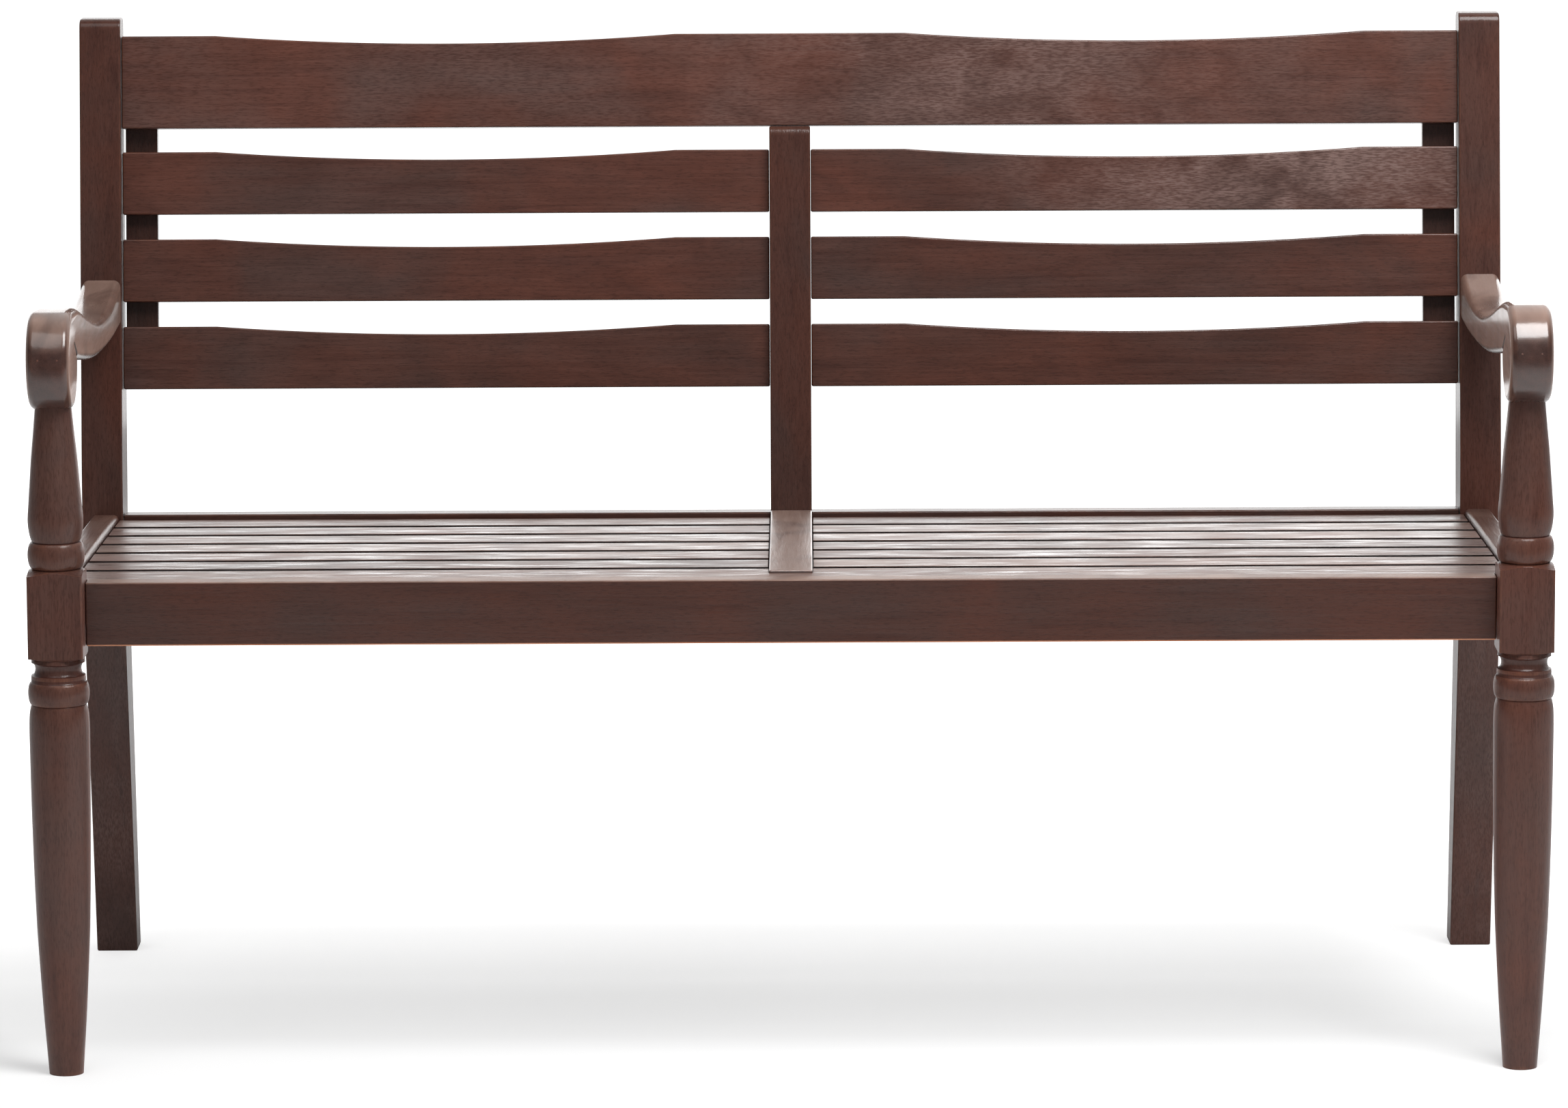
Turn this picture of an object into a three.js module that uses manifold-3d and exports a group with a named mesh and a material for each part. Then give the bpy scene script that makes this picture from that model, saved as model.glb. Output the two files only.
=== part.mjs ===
// A two-bay slatted hardwood bench with turned front legs, scrolled arms and a waved slat back.
// Millimetres. X runs along the bench, Y from front to back and Z up from the floor.

import * as THREE from 'three';
import { mergeVertices } from 'three/addons/utils/BufferGeometryUtils.js';
import Module from 'manifold-3d';

const wasm = await Module();
wasm.setup();

// Layout
const legSpacing = 1290; // between the axes of the front legs
const postOutset = 2.5; // each rear post stands this far outside the axis of its front leg
const seatHeight = 440.1; // floor to the top of the front rail
const seatDepth = 454; // front leg axis to the front faces of the rear posts at seat height
const seatTiltDegrees = 1.64; // the seat falls to the back
const backRakeDegrees = 8.53; // the back leans away from the sitter
const fitGap = 0.3; // clearance left in every joint
const cutOverrun = 2; // how far a cutter passes the face that it starts from
const arris = 1.6; // eased edge of the straight boards
const weldDistance = 0.0001; // vertices nearer than this are one

// Front legs, from the floor up
const swellHeight = 333;
const swellRadius = 26.6;
const beadHeight = 20.2;
const beadRadius = 27;
const beadEdgeRadius = 24;
const filletHeight = 5.8;
const filletRadius = 24.1;
const coveHeight = 11.7;
const coveRadius = 20.3;
const collarHeight = 3.4; // plain band between the cove and the block
const collarRadius = 23.6;
const legBlockWidth = 48.5;
const legBlockHeight = 80;
const blockShoulderDrop = 4.4; // how far the turned shoulder cuts the top corners of the block
const blockSoleDrop = 2.4; // the same at the bottom corners
const ringHeight = 23.7;
const ringRadius = 25.1;
const ringEdgeRadius = 21;
const vaseHeight = 121.9;
const vaseRadius = 24.4;
const legTenonRadius = 12;
const legTenonLength = 52;
const legSocketGap = 0.9; // around the top of the leg where it enters the scroll

// Rear posts
const postWidth = 38.5;
const postHeight = 892.7;
const postTopDepth = 34;
const postKneeDepth = 48;
const postFootDepth = 36.5;
const postSplay = 63; // how far the foot stands behind the knee
const kneeTopRise = 24.3; // above the seat, where the rake starts
const kneeBottomDrop = 105.7; // below the seat, where the splay starts
const kneeBackDrop = 30.7; // below the seat, the corner behind the knee
const kneeEasingShare = 0.29; // of the upright knee, blended at each end
const postTopRounding = 9;

// Arms
const scrollRadius = 43.3;
const armFrontWidth = 38.4;
const armRearWidth = 34;
const armEdgeRounding = 6.5;
const armSocketDepth = 5; // how far the top of the leg is let into the scroll
const armTenonWidth = 14;
const armTenonHeight = 26;
const armTenonLength = 12;

// Seat frame
const frontRailThickness = 22;
const frontRailHeight = 56.5;
const frontRailSetback = 2; // leg axis to the front face of the rail
const rearRailThickness = 20;
const rearRailHeight = 56.5;
const rearRailSetback = 3; // post front face to the front face of the rail
const rearRailRise = 4.4; // above the slats in front of it
const sideRailThickness = 23.5;
const sideRailHeight = 56;
const sideRailInset = 4; // rail inner face from the inner edge of the post's front face
const sideRailRise = 5; // above the slats beside it
const sideRailChamfer = 4;
const railTenonThickness = 10;
const railTenonLength = 24;
const railTenonHeight = 20;
const railTenonShoulder = 5; // below the upper tenons and above the lower ones
const cleatWidth = 20;
const cleatHeight = 24;
const bearerWidth = 80;
const bearerHeight = 34;
const supportEndGap = 1.6; // the seat tilts, so its cleats and bearer stop short of the upright rails

// Seat boards
const seatSlatCount = 6;
const seatSlatThickness = 16;
const seatSlatGap = 13.5;
const seatSlatEndGap = 0.9;
const seatSlatArris = 0.8;
const frontSlatWidth = 55;
const frontSlatGap = 0.9; // behind the front rail
const rearSlatSetback = 5; // last slat to the front face of the rear rail
const seatBoardWidth = 38.5;
const seatBoardRise = 2.4; // above the front slat
const seatBoardRearRise = 7; // above the slats at its rear end
const seatBoardLap = 30; // how far it reaches over the front slat

// Back, measured square to the raked front faces of the posts
const crestHeight = 86.9;
const crestDrop = 15; // post top to crest top
const crestThickness = 20;
const crestSetback = 9;
const crestTenonLength = 14;
const crestTenonShoulder = 16;
const backSlatHeightShare = 0.1613; // of the back between the rear rail and the crest
const backSlatGapShare = 0.064;
const crestGapShare = 0.0603;
const backSlatThickness = 14;
const backSlatSetback = 13;
const backSlatEndGap = 0.4;
const backSlatTenonLength = 8;
const backSlatTenonThickness = 7;
const backSlatTenonHeightShare = 0.7; // of the slat where the scoop is deepest
const backSlatCount = 3;
const scoopLength = 432;
const scoopDepth = 8.1;
const stileWidth = 38.5;
const stileThickness = 25;
const stileSetback = 2;
const stileTopRounding = 9;
const stileTenonLength = 14;
const stileTenonThickness = 8;
const stileTenonWidth = 24;
const battenWidth = 30;
const battenThickness = 12;
const battenEndGap = 2;
const battenCrestLap = 28;
const battenFootShort = 12; // the batten stops this far above the lower edge of the last slat

// Fasteners
const pinRadius = 1.7;
const pinLength = 38;
const pinSpacing = 17;
const pinRise = 4.6; // above the centre of the scroll
const screwHeadRadius = 4;
const screwHeadHeight = 2.4;
const screwRadius = 2;
const screwLength = 20;
const boltHeadRadius = 6.5;
const boltHeadHeight = 5;
const boltRadius = 3;
const boltLength = 74;
const boltHeadRecess = 1;

// Outline shares, chosen by eye from the turned and sawn shapes: [height share, radius share]
const swellShares = [
  [0, 0.57], [0.061, 0.625], [0.173, 0.724], [0.37, 0.864], [0.454, 0.904], [0.538, 0.936],
  [0.65, 0.964], [0.763, 0.985], [0.873, 0.996], [0.936, 1], [0.973, 0.98], [0.992, 0.938], [1, 0.905],
];
const vaseShares = [
  [0, 0.86], [0.03, 0.918], [0.08, 0.97], [0.144, 1], [0.2, 0.99], [0.253, 0.967], [0.328, 0.939],
  [0.476, 0.881], [0.626, 0.824], [0.774, 0.75], [0.924, 0.68], [1, 0.65],
];
// Arm edges: [share of the arm length, share of the scroll radius]
const armTopShares = [
  [0, 1], [0.104, 0.92], [0.208, 0.71], [0.312, 0.465], [0.415, 0.245], [0.509, 0.085],
  [0.602, -0.01], [0.706, -0.045], [0.831, 0.015], [0.935, 0.17], [1.06, 0.4],
];
const armUndersideShares = [
  [1.06, -0.69], [0.987, -0.715], [0.893, -0.75], [0.831, -0.764], [0.727, -0.755], [0.623, -0.72],
  [0.519, -0.665], [0.415, -0.575], [0.322, -0.458], [0.208, -0.294], [0.12, -0.16],
];
const curlCutShares = [[1.1, -0.26], [1.04, -0.02], [0.3, 0.36], [0.26, 0.3]];
const curlMeetDegrees = -6; // where the underside of the arm meets the scroll
const curlTopDegrees = 90; // where the top of the arm leaves the scroll
const fullTurnDegrees = 360;

// Smoothness of the round shapes
const turnedSegments = 24;
const swellSteps = 13;
const vaseSteps = 12;
const beadSteps = 6;
const armSteps = 18;
const scrollSteps = 26;
const cornerSteps = 4;
const roundingSegments = 3;
const scoopSteps = 14;
const smallRoundSegments = 12;

// Finishes
const stainColour = 0x4f3933;
const legColour = 0x5c423c;
const seatColour = 0x5a443c;
const steelColour = 0x8a8782;
const brassedColour = 0x6b5a3a;

const half = 1 / 2;
const seatTilt = THREE.MathUtils.degToRad(seatTiltDegrees);
const backRake = THREE.MathUtils.degToRad(backRakeDegrees);

// Places worked out from the sizes
const postSpacing = legSpacing + postOutset * 2;
const beadBottom = swellHeight;
const filletBottom = beadBottom + beadHeight;
const coveBottom = filletBottom + filletHeight;
const kneeTopHeight = seatHeight + kneeTopRise;
const kneeBottomHeight = seatHeight - kneeBottomDrop;
const kneeBackHeight = seatHeight - kneeBackDrop;
const kneeEasing = (kneeTopHeight - kneeBottomHeight) * kneeEasingShare;
const collarBottom = coveBottom + coveHeight;
const blockBottom = collarBottom + collarHeight;
const blockTop = blockBottom + legBlockHeight;
const vaseBottom = blockTop + ringHeight;
const legShoulder = vaseBottom + vaseHeight;
const scrollHeight = legShoulder - armSocketDepth + scrollRadius;
const blockBack = legBlockWidth * half;
const railEnd = legSpacing * half - legBlockWidth * half;
const postInner = postSpacing * half - postWidth * half;
const sideRailInner = postInner + sideRailInset;
const sideRailOuter = sideRailInner + sideRailThickness;
const frontRailBack = frontRailSetback + frontRailThickness;
const rearRailFront = seatDepth + rearRailSetback;
const postFootBack = seatDepth + postSplay + postFootDepth;
const depthCentre = (postFootBack - scrollRadius) * half;

// The bench stands on a group whose origin is the middle of its footprint
const assembly = new THREE.Group();
const bench = new THREE.Group();
bench.position.y = -depthCentre;
assembly.add(bench);

// The seat boards lie in a plane that falls to the back
const seat = new THREE.Group();
seat.position.z = seatHeight;
seat.rotation.x = -seatTilt;
bench.add(seat);
seat.updateMatrix();

// The back is built square to the front faces of the raked posts
const back = new THREE.Group();
back.position.set(0, seatDepth, kneeTopHeight);
back.rotation.x = -backRake;
bench.add(back);
back.updateMatrix();

/** Height of the seat surface at a distance behind the front leg axis. */
function seatLevel(y) {
  return seatHeight - y * Math.tan(seatTilt);
}

/** Depth of the posts' raked front faces at a height. */
function postFrontAt(z) {
  return seatDepth + (z - kneeTopHeight) * Math.tan(backRake);
}

const rearRailTop = seatLevel(rearRailFront) + rearRailRise;
const armLength = postFrontAt(scrollHeight);
const postTopAlong = (postHeight - kneeTopHeight) / Math.cos(backRake);
const crestTop = postTopAlong - crestDrop;
const crestBottom = crestTop - crestHeight;
const backField = crestBottom - (rearRailTop - kneeTopHeight) / Math.cos(backRake);
const backSlatHeight = backField * backSlatHeightShare;
const backSlatGap = backField * backSlatGapShare;
const crestSlatGap = backField * crestGapShare;

/** A closed solid from a geometry, with its shared vertices merged. */
function toSolid(geometry) {
  const shell = geometry.clone();
  shell.deleteAttribute('normal');
  shell.deleteAttribute('uv');
  const merged = mergeVertices(shell, weldDistance);
  const corners = merged.index.array;
  const kept = [];
  for (let i = 0; i < corners.length; i += 3) {
    const [a, b, c] = [corners[i], corners[i + 1], corners[i + 2]];
    if (a !== b && b !== c && c !== a) {
      kept.push(a, b, c);
    }
  }
  return new wasm.Manifold(new wasm.Mesh({
    numProp: 3,
    vertProperties: Float32Array.from(merged.attributes.position.array),
    triVerts: Uint32Array.from(kept),
  }));
}

/** A geometry from a closed solid. */
function toGeometry(solid) {
  const { vertProperties, triVerts } = solid.getMesh();
  const geometry = new THREE.BufferGeometry();
  geometry.setAttribute('position', new THREE.BufferAttribute(vertProperties, 3));
  geometry.setIndex(new THREE.BufferAttribute(triVerts, 1));
  geometry.computeVertexNormals();
  return geometry;
}

/** One geometry joined with others and cut by others. */
function shaped(geometry, { join = [], cut = [] }) {
  const joined = join.reduce((solid, extra) => solid.add(toSolid(extra)), toSolid(geometry));
  return toGeometry(cut.reduce((solid, cutter) => solid.subtract(toSolid(cutter)), joined));
}

/** Names a piece, gives it a finish and puts it at its place in a group. */
function addPiece(parent, name, geometry, place, colour, roughness = 0.42, metalness = 0) {
  const material = new THREE.MeshStandardMaterial({ color: colour, roughness, metalness });
  const mesh = new THREE.Mesh(geometry, material);
  mesh.name = name;
  mesh.position.set(...place);
  parent.add(mesh);
}

/** A plain block between two opposite corners. */
function blockBetween(from, to) {
  const sizes = from.map((value, i) => Math.abs(to[i] - value));
  const middle = from.map((value, i) => (to[i] + value) * half);
  return new THREE.BoxGeometry(...sizes).translate(...middle);
}

/** Turns a side outline, drawn as depth and height, into a board of a width along X, centred on X. */
function sideBoard(outline, width, easing, segments = 1) {
  const geometry = new THREE.ExtrudeGeometry(outline, {
    depth: width - easing * 2,
    bevelEnabled: true,
    bevelSize: easing,
    bevelOffset: -easing,
    bevelThickness: easing,
    bevelSegments: segments,
    steps: 1,
    curveSegments: cornerSteps,
  });
  geometry.translate(0, 0, easing - width * half);
  const depthAxis = new THREE.Vector3(0, 1, 0);
  const heightAxis = new THREE.Vector3(0, 0, 1);
  const widthAxis = new THREE.Vector3(1, 0, 0);
  return geometry.applyMatrix4(new THREE.Matrix4().makeBasis(depthAxis, heightAxis, widthAxis));
}

/** Turns a front outline, drawn as length and height, into a board whose front face is at Y 0. */
function frontBoard(outline, thickness, easing) {
  const geometry = new THREE.ExtrudeGeometry(outline, {
    depth: thickness - easing * 2,
    bevelEnabled: true,
    bevelSize: easing,
    bevelOffset: -easing,
    bevelThickness: easing,
    bevelSegments: 1,
    steps: 1,
    curveSegments: cornerSteps,
  });
  geometry.translate(0, 0, easing - thickness);
  return geometry.rotateX(Math.PI * half);
}

/** A rectangle with its corners cut off by an easing. */
function easedRectangle(left, bottom, right, top, easing) {
  return new THREE.Shape([
    new THREE.Vector2(left + easing, bottom),
    new THREE.Vector2(right - easing, bottom),
    new THREE.Vector2(right, bottom + easing),
    new THREE.Vector2(right, top - easing),
    new THREE.Vector2(right - easing, top),
    new THREE.Vector2(left + easing, top),
    new THREE.Vector2(left, top - easing),
    new THREE.Vector2(left, bottom + easing),
  ]);
}

/** A straight board with every edge eased, between two opposite corners. */
function easedBoard(from, to, easing = arris) {
  const section = easedRectangle(from[1], from[2], to[1], to[2], easing);
  return sideBoard(section, to[0] - from[0], easing).translate((from[0] + to[0]) * half, 0, 0);
}

/** A turned solid about a vertical axis from [radius, height] points. */
function turned(profile) {
  const [first, last] = [profile[0], profile[profile.length - 1]];
  const points = [[0, first[1]], ...profile, [0, last[1]]].map(([r, z]) => new THREE.Vector2(r, z));
  return new THREE.LatheGeometry(points, turnedSegments).rotateX(Math.PI * half);
}

/** Points of a smooth turned curve through shares of a height and a radius. */
function smoothProfile(shares, height, radius, bottom, steps) {
  const knots = shares.map(([up, out]) => new THREE.Vector2(out * radius, bottom + up * height));
  return new THREE.SplineCurve(knots).getPoints(steps).map((p) => [p.x, p.y]);
}

/** Points of a half-round bead or, with a smaller middle radius, of a cove. */
function roundedBand(bottom, height, edgeRadius, middleRadius) {
  return Array.from({ length: beadSteps + 1 }, (_, i) => {
    const angle = Math.PI * (i / beadSteps);
    const up = (1 - Math.cos(angle)) * half;
    return [edgeRadius + (middleRadius - edgeRadius) * Math.sin(angle), bottom + height * up];
  });
}

/** A round rod along Z, from the origin up. */
function rod(radius, length, segments = smallRoundSegments) {
  const geometry = new THREE.CylinderGeometry(radius, radius, length, segments);
  return geometry.rotateX(Math.PI * half).translate(0, 0, length * half);
}

/** A headed fastener, or its hole when a clearance is given: head face at the origin, shank below. */
function headedFastener(headRadius, headHeight, shankRadius, length, clearance) {
  const outward = clearance > 0 ? cutOverrun : 0;
  const head = rod(headRadius + clearance, headHeight + clearance + outward);
  const shank = rod(shankRadius + clearance, length + clearance);
  head.translate(0, 0, -headHeight - clearance);
  shank.translate(0, 0, -length - clearance);
  return shaped(head, { join: [shank] });
}

// Front legs

/** Profile of a turned shoulder, from a neck out past the corners of the block: [radius, drop]. */
function blockShoulder(neckRadius, drop) {
  const cornerRadius = legBlockWidth * Math.SQRT1_2 + fitGap;
  const start = neckRadius + fitGap;
  return Array.from({ length: cornerSteps + 1 }, (_, i) => {
    const along = i / cornerSteps;
    return [start + (cornerRadius - start) * along, drop * Math.sin(Math.PI * half * along)];
  });
}

/** The square block of a leg, with its corners cut by the turned shoulders at both ends. */
function legBlock() {
  const lower = blockShoulder(collarRadius, blockSoleDrop).map(([r, z]) => [r, blockBottom + z]);
  const upper = blockShoulder(ringEdgeRadius, blockShoulderDrop).map(([r, z]) => [r, blockTop - z]);
  const square = blockBetween([-blockBack, -blockBack, blockBottom], [blockBack, blockBack, blockTop]);
  return toGeometry(toSolid(square).intersect(toSolid(turned([...lower, ...upper.reverse()]))));
}

/** A rail tenon or its mortise, between two depths or lengths, grown by a clearance. */
function railTenon(from, to, clearance) {
  const low = from.map((value, i) => Math.min(value, to[i]) - clearance);
  const high = from.map((value, i) => Math.max(value, to[i]) + clearance);
  return blockBetween(low, high);
}

/** Tenon of the front rail at one end, in bench places. */
function frontRailTenon(side, clearance) {
  const middle = frontRailSetback + frontRailThickness * half;
  const bottom = seatHeight - frontRailHeight + railTenonShoulder;
  return railTenon(
    [side * (railEnd - cutOverrun), middle - railTenonThickness * half, bottom],
    [side * (railEnd + railTenonLength), middle + railTenonThickness * half, bottom + railTenonHeight],
    clearance,
  );
}

/** Tenon of the rear rail at one end, in bench places. */
function rearRailTenon(side, clearance) {
  const middle = rearRailFront + rearRailThickness * half;
  const bottom = rearRailTop - rearRailHeight + railTenonShoulder;
  return railTenon(
    [side * (postInner - cutOverrun), middle - railTenonThickness * half, bottom],
    [side * (postInner + railTenonLength), middle + railTenonThickness * half, bottom + railTenonHeight],
    clearance,
  );
}

/** Tenon of a side rail at its front or rear end, in bench places. */
function sideRailTenon(side, atFront, clearance) {
  const middle = (sideRailInner + sideRailOuter) * half;
  const shoulder = atFront ? blockBack : seatDepth;
  const inward = atFront ? cutOverrun : -cutOverrun;
  const outward = atFront ? -railTenonLength : railTenonLength;
  const top = seatLevel(shoulder) + sideRailRise - railTenonShoulder;
  return railTenon(
    [side * (middle - railTenonThickness * half), shoulder + inward, top - railTenonHeight],
    [side * (middle + railTenonThickness * half), shoulder + outward, top],
    clearance,
  );
}

/** The two pins of an arm scroll, side by side, as places along X from the middle of the arm. */
const pinOffsets = [-pinSpacing * half, pinSpacing * half];

/** An arm pin along Y at its place beside the leg axis, grown by a clearance. */
function armPin(offset, clearance) {
  const front = -Math.sqrt(scrollRadius ** 2 - pinRise ** 2) + fitGap;
  const start = clearance > 0 ? front - cutOverrun : front;
  const end = front + pinLength + clearance;
  const pin = rod(pinRadius + clearance, end - start).rotateX(-Math.PI * half);
  return pin.translate(offset, start, scrollHeight + pinRise);
}

function frontLeg(side) {
  const lower = turned([
    ...smoothProfile(swellShares, swellHeight, swellRadius, 0, swellSteps),
    ...roundedBand(beadBottom, beadHeight, beadEdgeRadius, beadRadius),
    [filletRadius, filletBottom + filletHeight * half],
    ...roundedBand(coveBottom, coveHeight, filletRadius - fitGap, coveRadius),
    [collarRadius, collarBottom + fitGap],
    [collarRadius, blockBottom],
    [coveRadius, blockBottom + blockShoulderDrop],
  ]);
  const upper = turned([
    [ringEdgeRadius, blockTop - blockShoulderDrop],
    ...roundedBand(blockTop, ringHeight, ringEdgeRadius, ringRadius),
    ...smoothProfile(vaseShares, vaseHeight, vaseRadius, vaseBottom, vaseSteps).slice(1),
  ]);
  const tenon = rod(legTenonRadius, legTenonLength + cutOverrun).translate(0, 0, legShoulder - cutOverrun);
  const axis = side * legSpacing * half;
  const mortises = [frontRailTenon(side, fitGap), sideRailTenon(side, true, fitGap)];
  const pinHoles = pinOffsets.map((offset) => armPin(offset, fitGap));
  return shaped(lower, {
    join: [legBlock(), upper, tenon],
    cut: [...mortises.map((mortise) => mortise.translate(-axis, 0, 0)), ...pinHoles],
  });
}

// Rear posts

/** Adds a blended corner to an outline between the points before and after it. */
function blendCorner(outline, before, corner, after, reach) {
  const start = corner.clone().add(before.clone().sub(corner).setLength(reach));
  const end = corner.clone().add(after.clone().sub(corner).setLength(reach));
  outline.lineTo(start.x, start.y);
  outline.quadraticCurveTo(corner.x, corner.y, end.x, end.y);
}

/** Side outline of a rear post: splayed foot, upright knee and raked, round-topped upper part. */
function postOutline() {
  const topDepth = postTopDepth / Math.cos(backRake);
  const points = [
    new THREE.Vector2(seatDepth + postSplay, 0),
    new THREE.Vector2(seatDepth, kneeBottomHeight),
    new THREE.Vector2(seatDepth, kneeTopHeight),
    new THREE.Vector2(postFrontAt(postHeight), postHeight),
    new THREE.Vector2(postFrontAt(postHeight) + topDepth, postHeight),
    new THREE.Vector2(seatDepth + postKneeDepth, kneeBackHeight),
    new THREE.Vector2(postFootBack, 0),
  ];
  const reaches = [0, kneeEasing, kneeEasing, postTopRounding, postTopRounding, kneeEasing, 0];
  const outline = new THREE.Shape();
  outline.moveTo(points[0].x, points[0].y);
  for (let i = 1; i < points.length - 1; i += 1) {
    blendCorner(outline, points[i - 1], points[i], points[i + 1], reaches[i]);
  }
  outline.lineTo(postFootBack, 0);
  return outline;
}

/** Tenon of the crest rail at one end, in the back's places. */
function crestTenon(side, clearance) {
  const middle = crestSetback + crestThickness * half;
  const low = crestBottom + crestTenonShoulder;
  const high = crestTop - crestTenonShoulder;
  return railTenon(
    [side * (postInner - cutOverrun), middle - railTenonThickness * half, low],
    [side * (postInner + crestTenonLength), middle + railTenonThickness * half, high],
    clearance,
  );
}

/** Height on the raked post where the middle of the arm's rear end meets it. */
const armJointHeight = scrollHeight + (armTopShares[9][1] + armUndersideShares[1][1]) * scrollRadius * half;

/** Tenon of an arm, centred on the arm, square to the raked post. */
function armTenon(clearance) {
  const along = (armJointHeight - kneeTopHeight) / Math.cos(backRake);
  return railTenon(
    [-armTenonWidth * half, -cutOverrun, along - armTenonHeight * half],
    [armTenonWidth * half, armTenonLength, along + armTenonHeight * half],
    clearance,
  ).applyMatrix4(back.matrix);
}

/** Depth of a post at the arm joint, square to its front face. */
function postDepthAtArm() {
  const span = postHeight - kneeBackHeight;
  const share = (armJointHeight - kneeBackHeight) / span;
  const rear = THREE.MathUtils.lerp(
    seatDepth + postKneeDepth,
    postFrontAt(postHeight) + postTopDepth / Math.cos(backRake),
    share,
  );
  return (rear - postFrontAt(armJointHeight)) * Math.cos(backRake);
}

/** The bolt that holds an arm to its post, driven from behind, grown by a clearance. */
function armBolt(clearance) {
  const along = (armJointHeight - kneeTopHeight) / Math.cos(backRake);
  const bolt = headedFastener(boltHeadRadius, boltHeadHeight, boltRadius, boltLength, clearance);
  return bolt
    .rotateX(-Math.PI * half)
    .translate(0, postDepthAtArm() - boltHeadRecess, along)
    .applyMatrix4(back.matrix);
}

function rearPost(side) {
  const axis = side * postSpacing * half;
  const cutters = [
    rearRailTenon(side, fitGap),
    sideRailTenon(side, false, fitGap),
    crestTenon(side, fitGap).applyMatrix4(back.matrix),
  ].map((cutter) => cutter.translate(-axis, 0, 0));
  return shaped(sideBoard(postOutline(), postWidth, arris), {
    cut: [...cutters, armTenon(fitGap), armBolt(fitGap)],
  });
}

// Arms

/** Side outline of an arm: a round scroll in front and an S curve back to the post. */
function armOutline() {
  const place = ([along, up]) => new THREE.Vector2(along * armLength, scrollHeight + up * scrollRadius);
  const top = new THREE.SplineCurve(armTopShares.map(place)).getPoints(armSteps);
  const underside = new THREE.SplineCurve(armUndersideShares.map(place)).getPoints(armSteps);
  const start = THREE.MathUtils.degToRad(curlMeetDegrees);
  const sweep = THREE.MathUtils.degToRad(curlTopDegrees - fullTurnDegrees) - start;
  const scroll = Array.from({ length: scrollSteps }, (_, i) => {
    const angle = start + sweep * (i / scrollSteps);
    return new THREE.Vector2(scrollRadius * Math.cos(angle), scrollHeight + scrollRadius * Math.sin(angle));
  });
  return new THREE.Shape([...top, ...underside, ...scroll]);
}

/** Narrows the arm from the scroll to the post and leads it from the leg axis to the post centre. */
function taperArm(geometry, side) {
  const position = geometry.attributes.position;
  const drift = side * (postSpacing - legSpacing) * half;
  for (let i = 0; i < position.count; i += 1) {
    const share = THREE.MathUtils.clamp(position.getY(i) / armLength, 0, 1);
    const narrowing = THREE.MathUtils.lerp(1, armRearWidth / armFrontWidth, share);
    position.setX(i, position.getX(i) * narrowing + drift * share);
  }
  return geometry;
}

function arm(side) {
  const drift = side * (postSpacing - legSpacing) * half;
  const blank = taperArm(sideBoard(armOutline(), armFrontWidth, armEdgeRounding, roundingSegments), side);
  const curlCut = new THREE.Shape(
    curlCutShares.map(([y, z]) => new THREE.Vector2(y * scrollRadius, scrollHeight + z * scrollRadius)),
  );
  const curl = sideBoard(curlCut, armFrontWidth + cutOverrun * 2, 0);
  const postSpace = blockBetween(
    [-postWidth, -fitGap, -scrollRadius],
    [postWidth, armLength, postTopAlong],
  ).applyMatrix4(back.matrix);
  const legTopRadius = vaseRadius * vaseShares[vaseShares.length - 1][1];
  const socket = rod(legTopRadius + legSocketGap, scrollRadius, turnedSegments);
  const tenonHole = rod(legTenonRadius + fitGap, legTenonLength + scrollRadius);
  const legSpace = [socket, tenonHole];
  legSpace.forEach((hole) => hole.translate(0, 0, legShoulder + fitGap - scrollRadius));
  const trimmed = shaped(blank, { cut: [curl, postSpace, ...legSpace] });
  return shaped(trimmed, {
    join: [armTenon(0).translate(drift, 0, 0)],
    cut: [armBolt(fitGap).translate(drift, 0, 0), ...pinOffsets.map((offset) => armPin(offset, fitGap))],
  });
}

// Seat frame

function frontRail() {
  const length = railEnd - fitGap;
  const board = easedBoard(
    [-length, frontRailSetback, seatHeight - frontRailHeight],
    [length, frontRailBack, seatHeight],
  );
  return shaped(board, { join: [frontRailTenon(-1, 0), frontRailTenon(1, 0)] });
}

/** Tenon at the foot of the centre stile, let into the rear rail, in bench places. */
function stileFootTenon(clearance) {
  const middle = stileAxisAt(rearRailTop);
  return railTenon(
    [-stileTenonWidth * half, middle - stileTenonThickness * half, rearRailTop - stileTenonLength],
    [stileTenonWidth * half, middle + stileTenonThickness * half, rearRailTop + cutOverrun],
    clearance,
  );
}

/** Depth of the middle of the centre stile at a height. */
function stileAxisAt(z) {
  return postFrontAt(z) + (stileSetback + stileThickness * half) / Math.cos(backRake);
}

/** Depth of the front face of the centre stile at a height. */
function stileFrontAt(z) {
  return postFrontAt(z) + stileSetback / Math.cos(backRake);
}

/** Rear end of the seat board, where it meets the foot of the stile. */
const seatBoardEnd = stileFrontAt(rearRailTop) - fitGap;

function rearRail() {
  const length = postInner - fitGap;
  const board = easedBoard(
    [-length, rearRailFront, rearRailTop - rearRailHeight],
    [length, rearRailFront + rearRailThickness, rearRailTop],
  );
  return shaped(board, {
    join: [rearRailTenon(-1, 0), rearRailTenon(1, 0)],
    cut: [stileFootTenon(fitGap)],
  });
}

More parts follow.
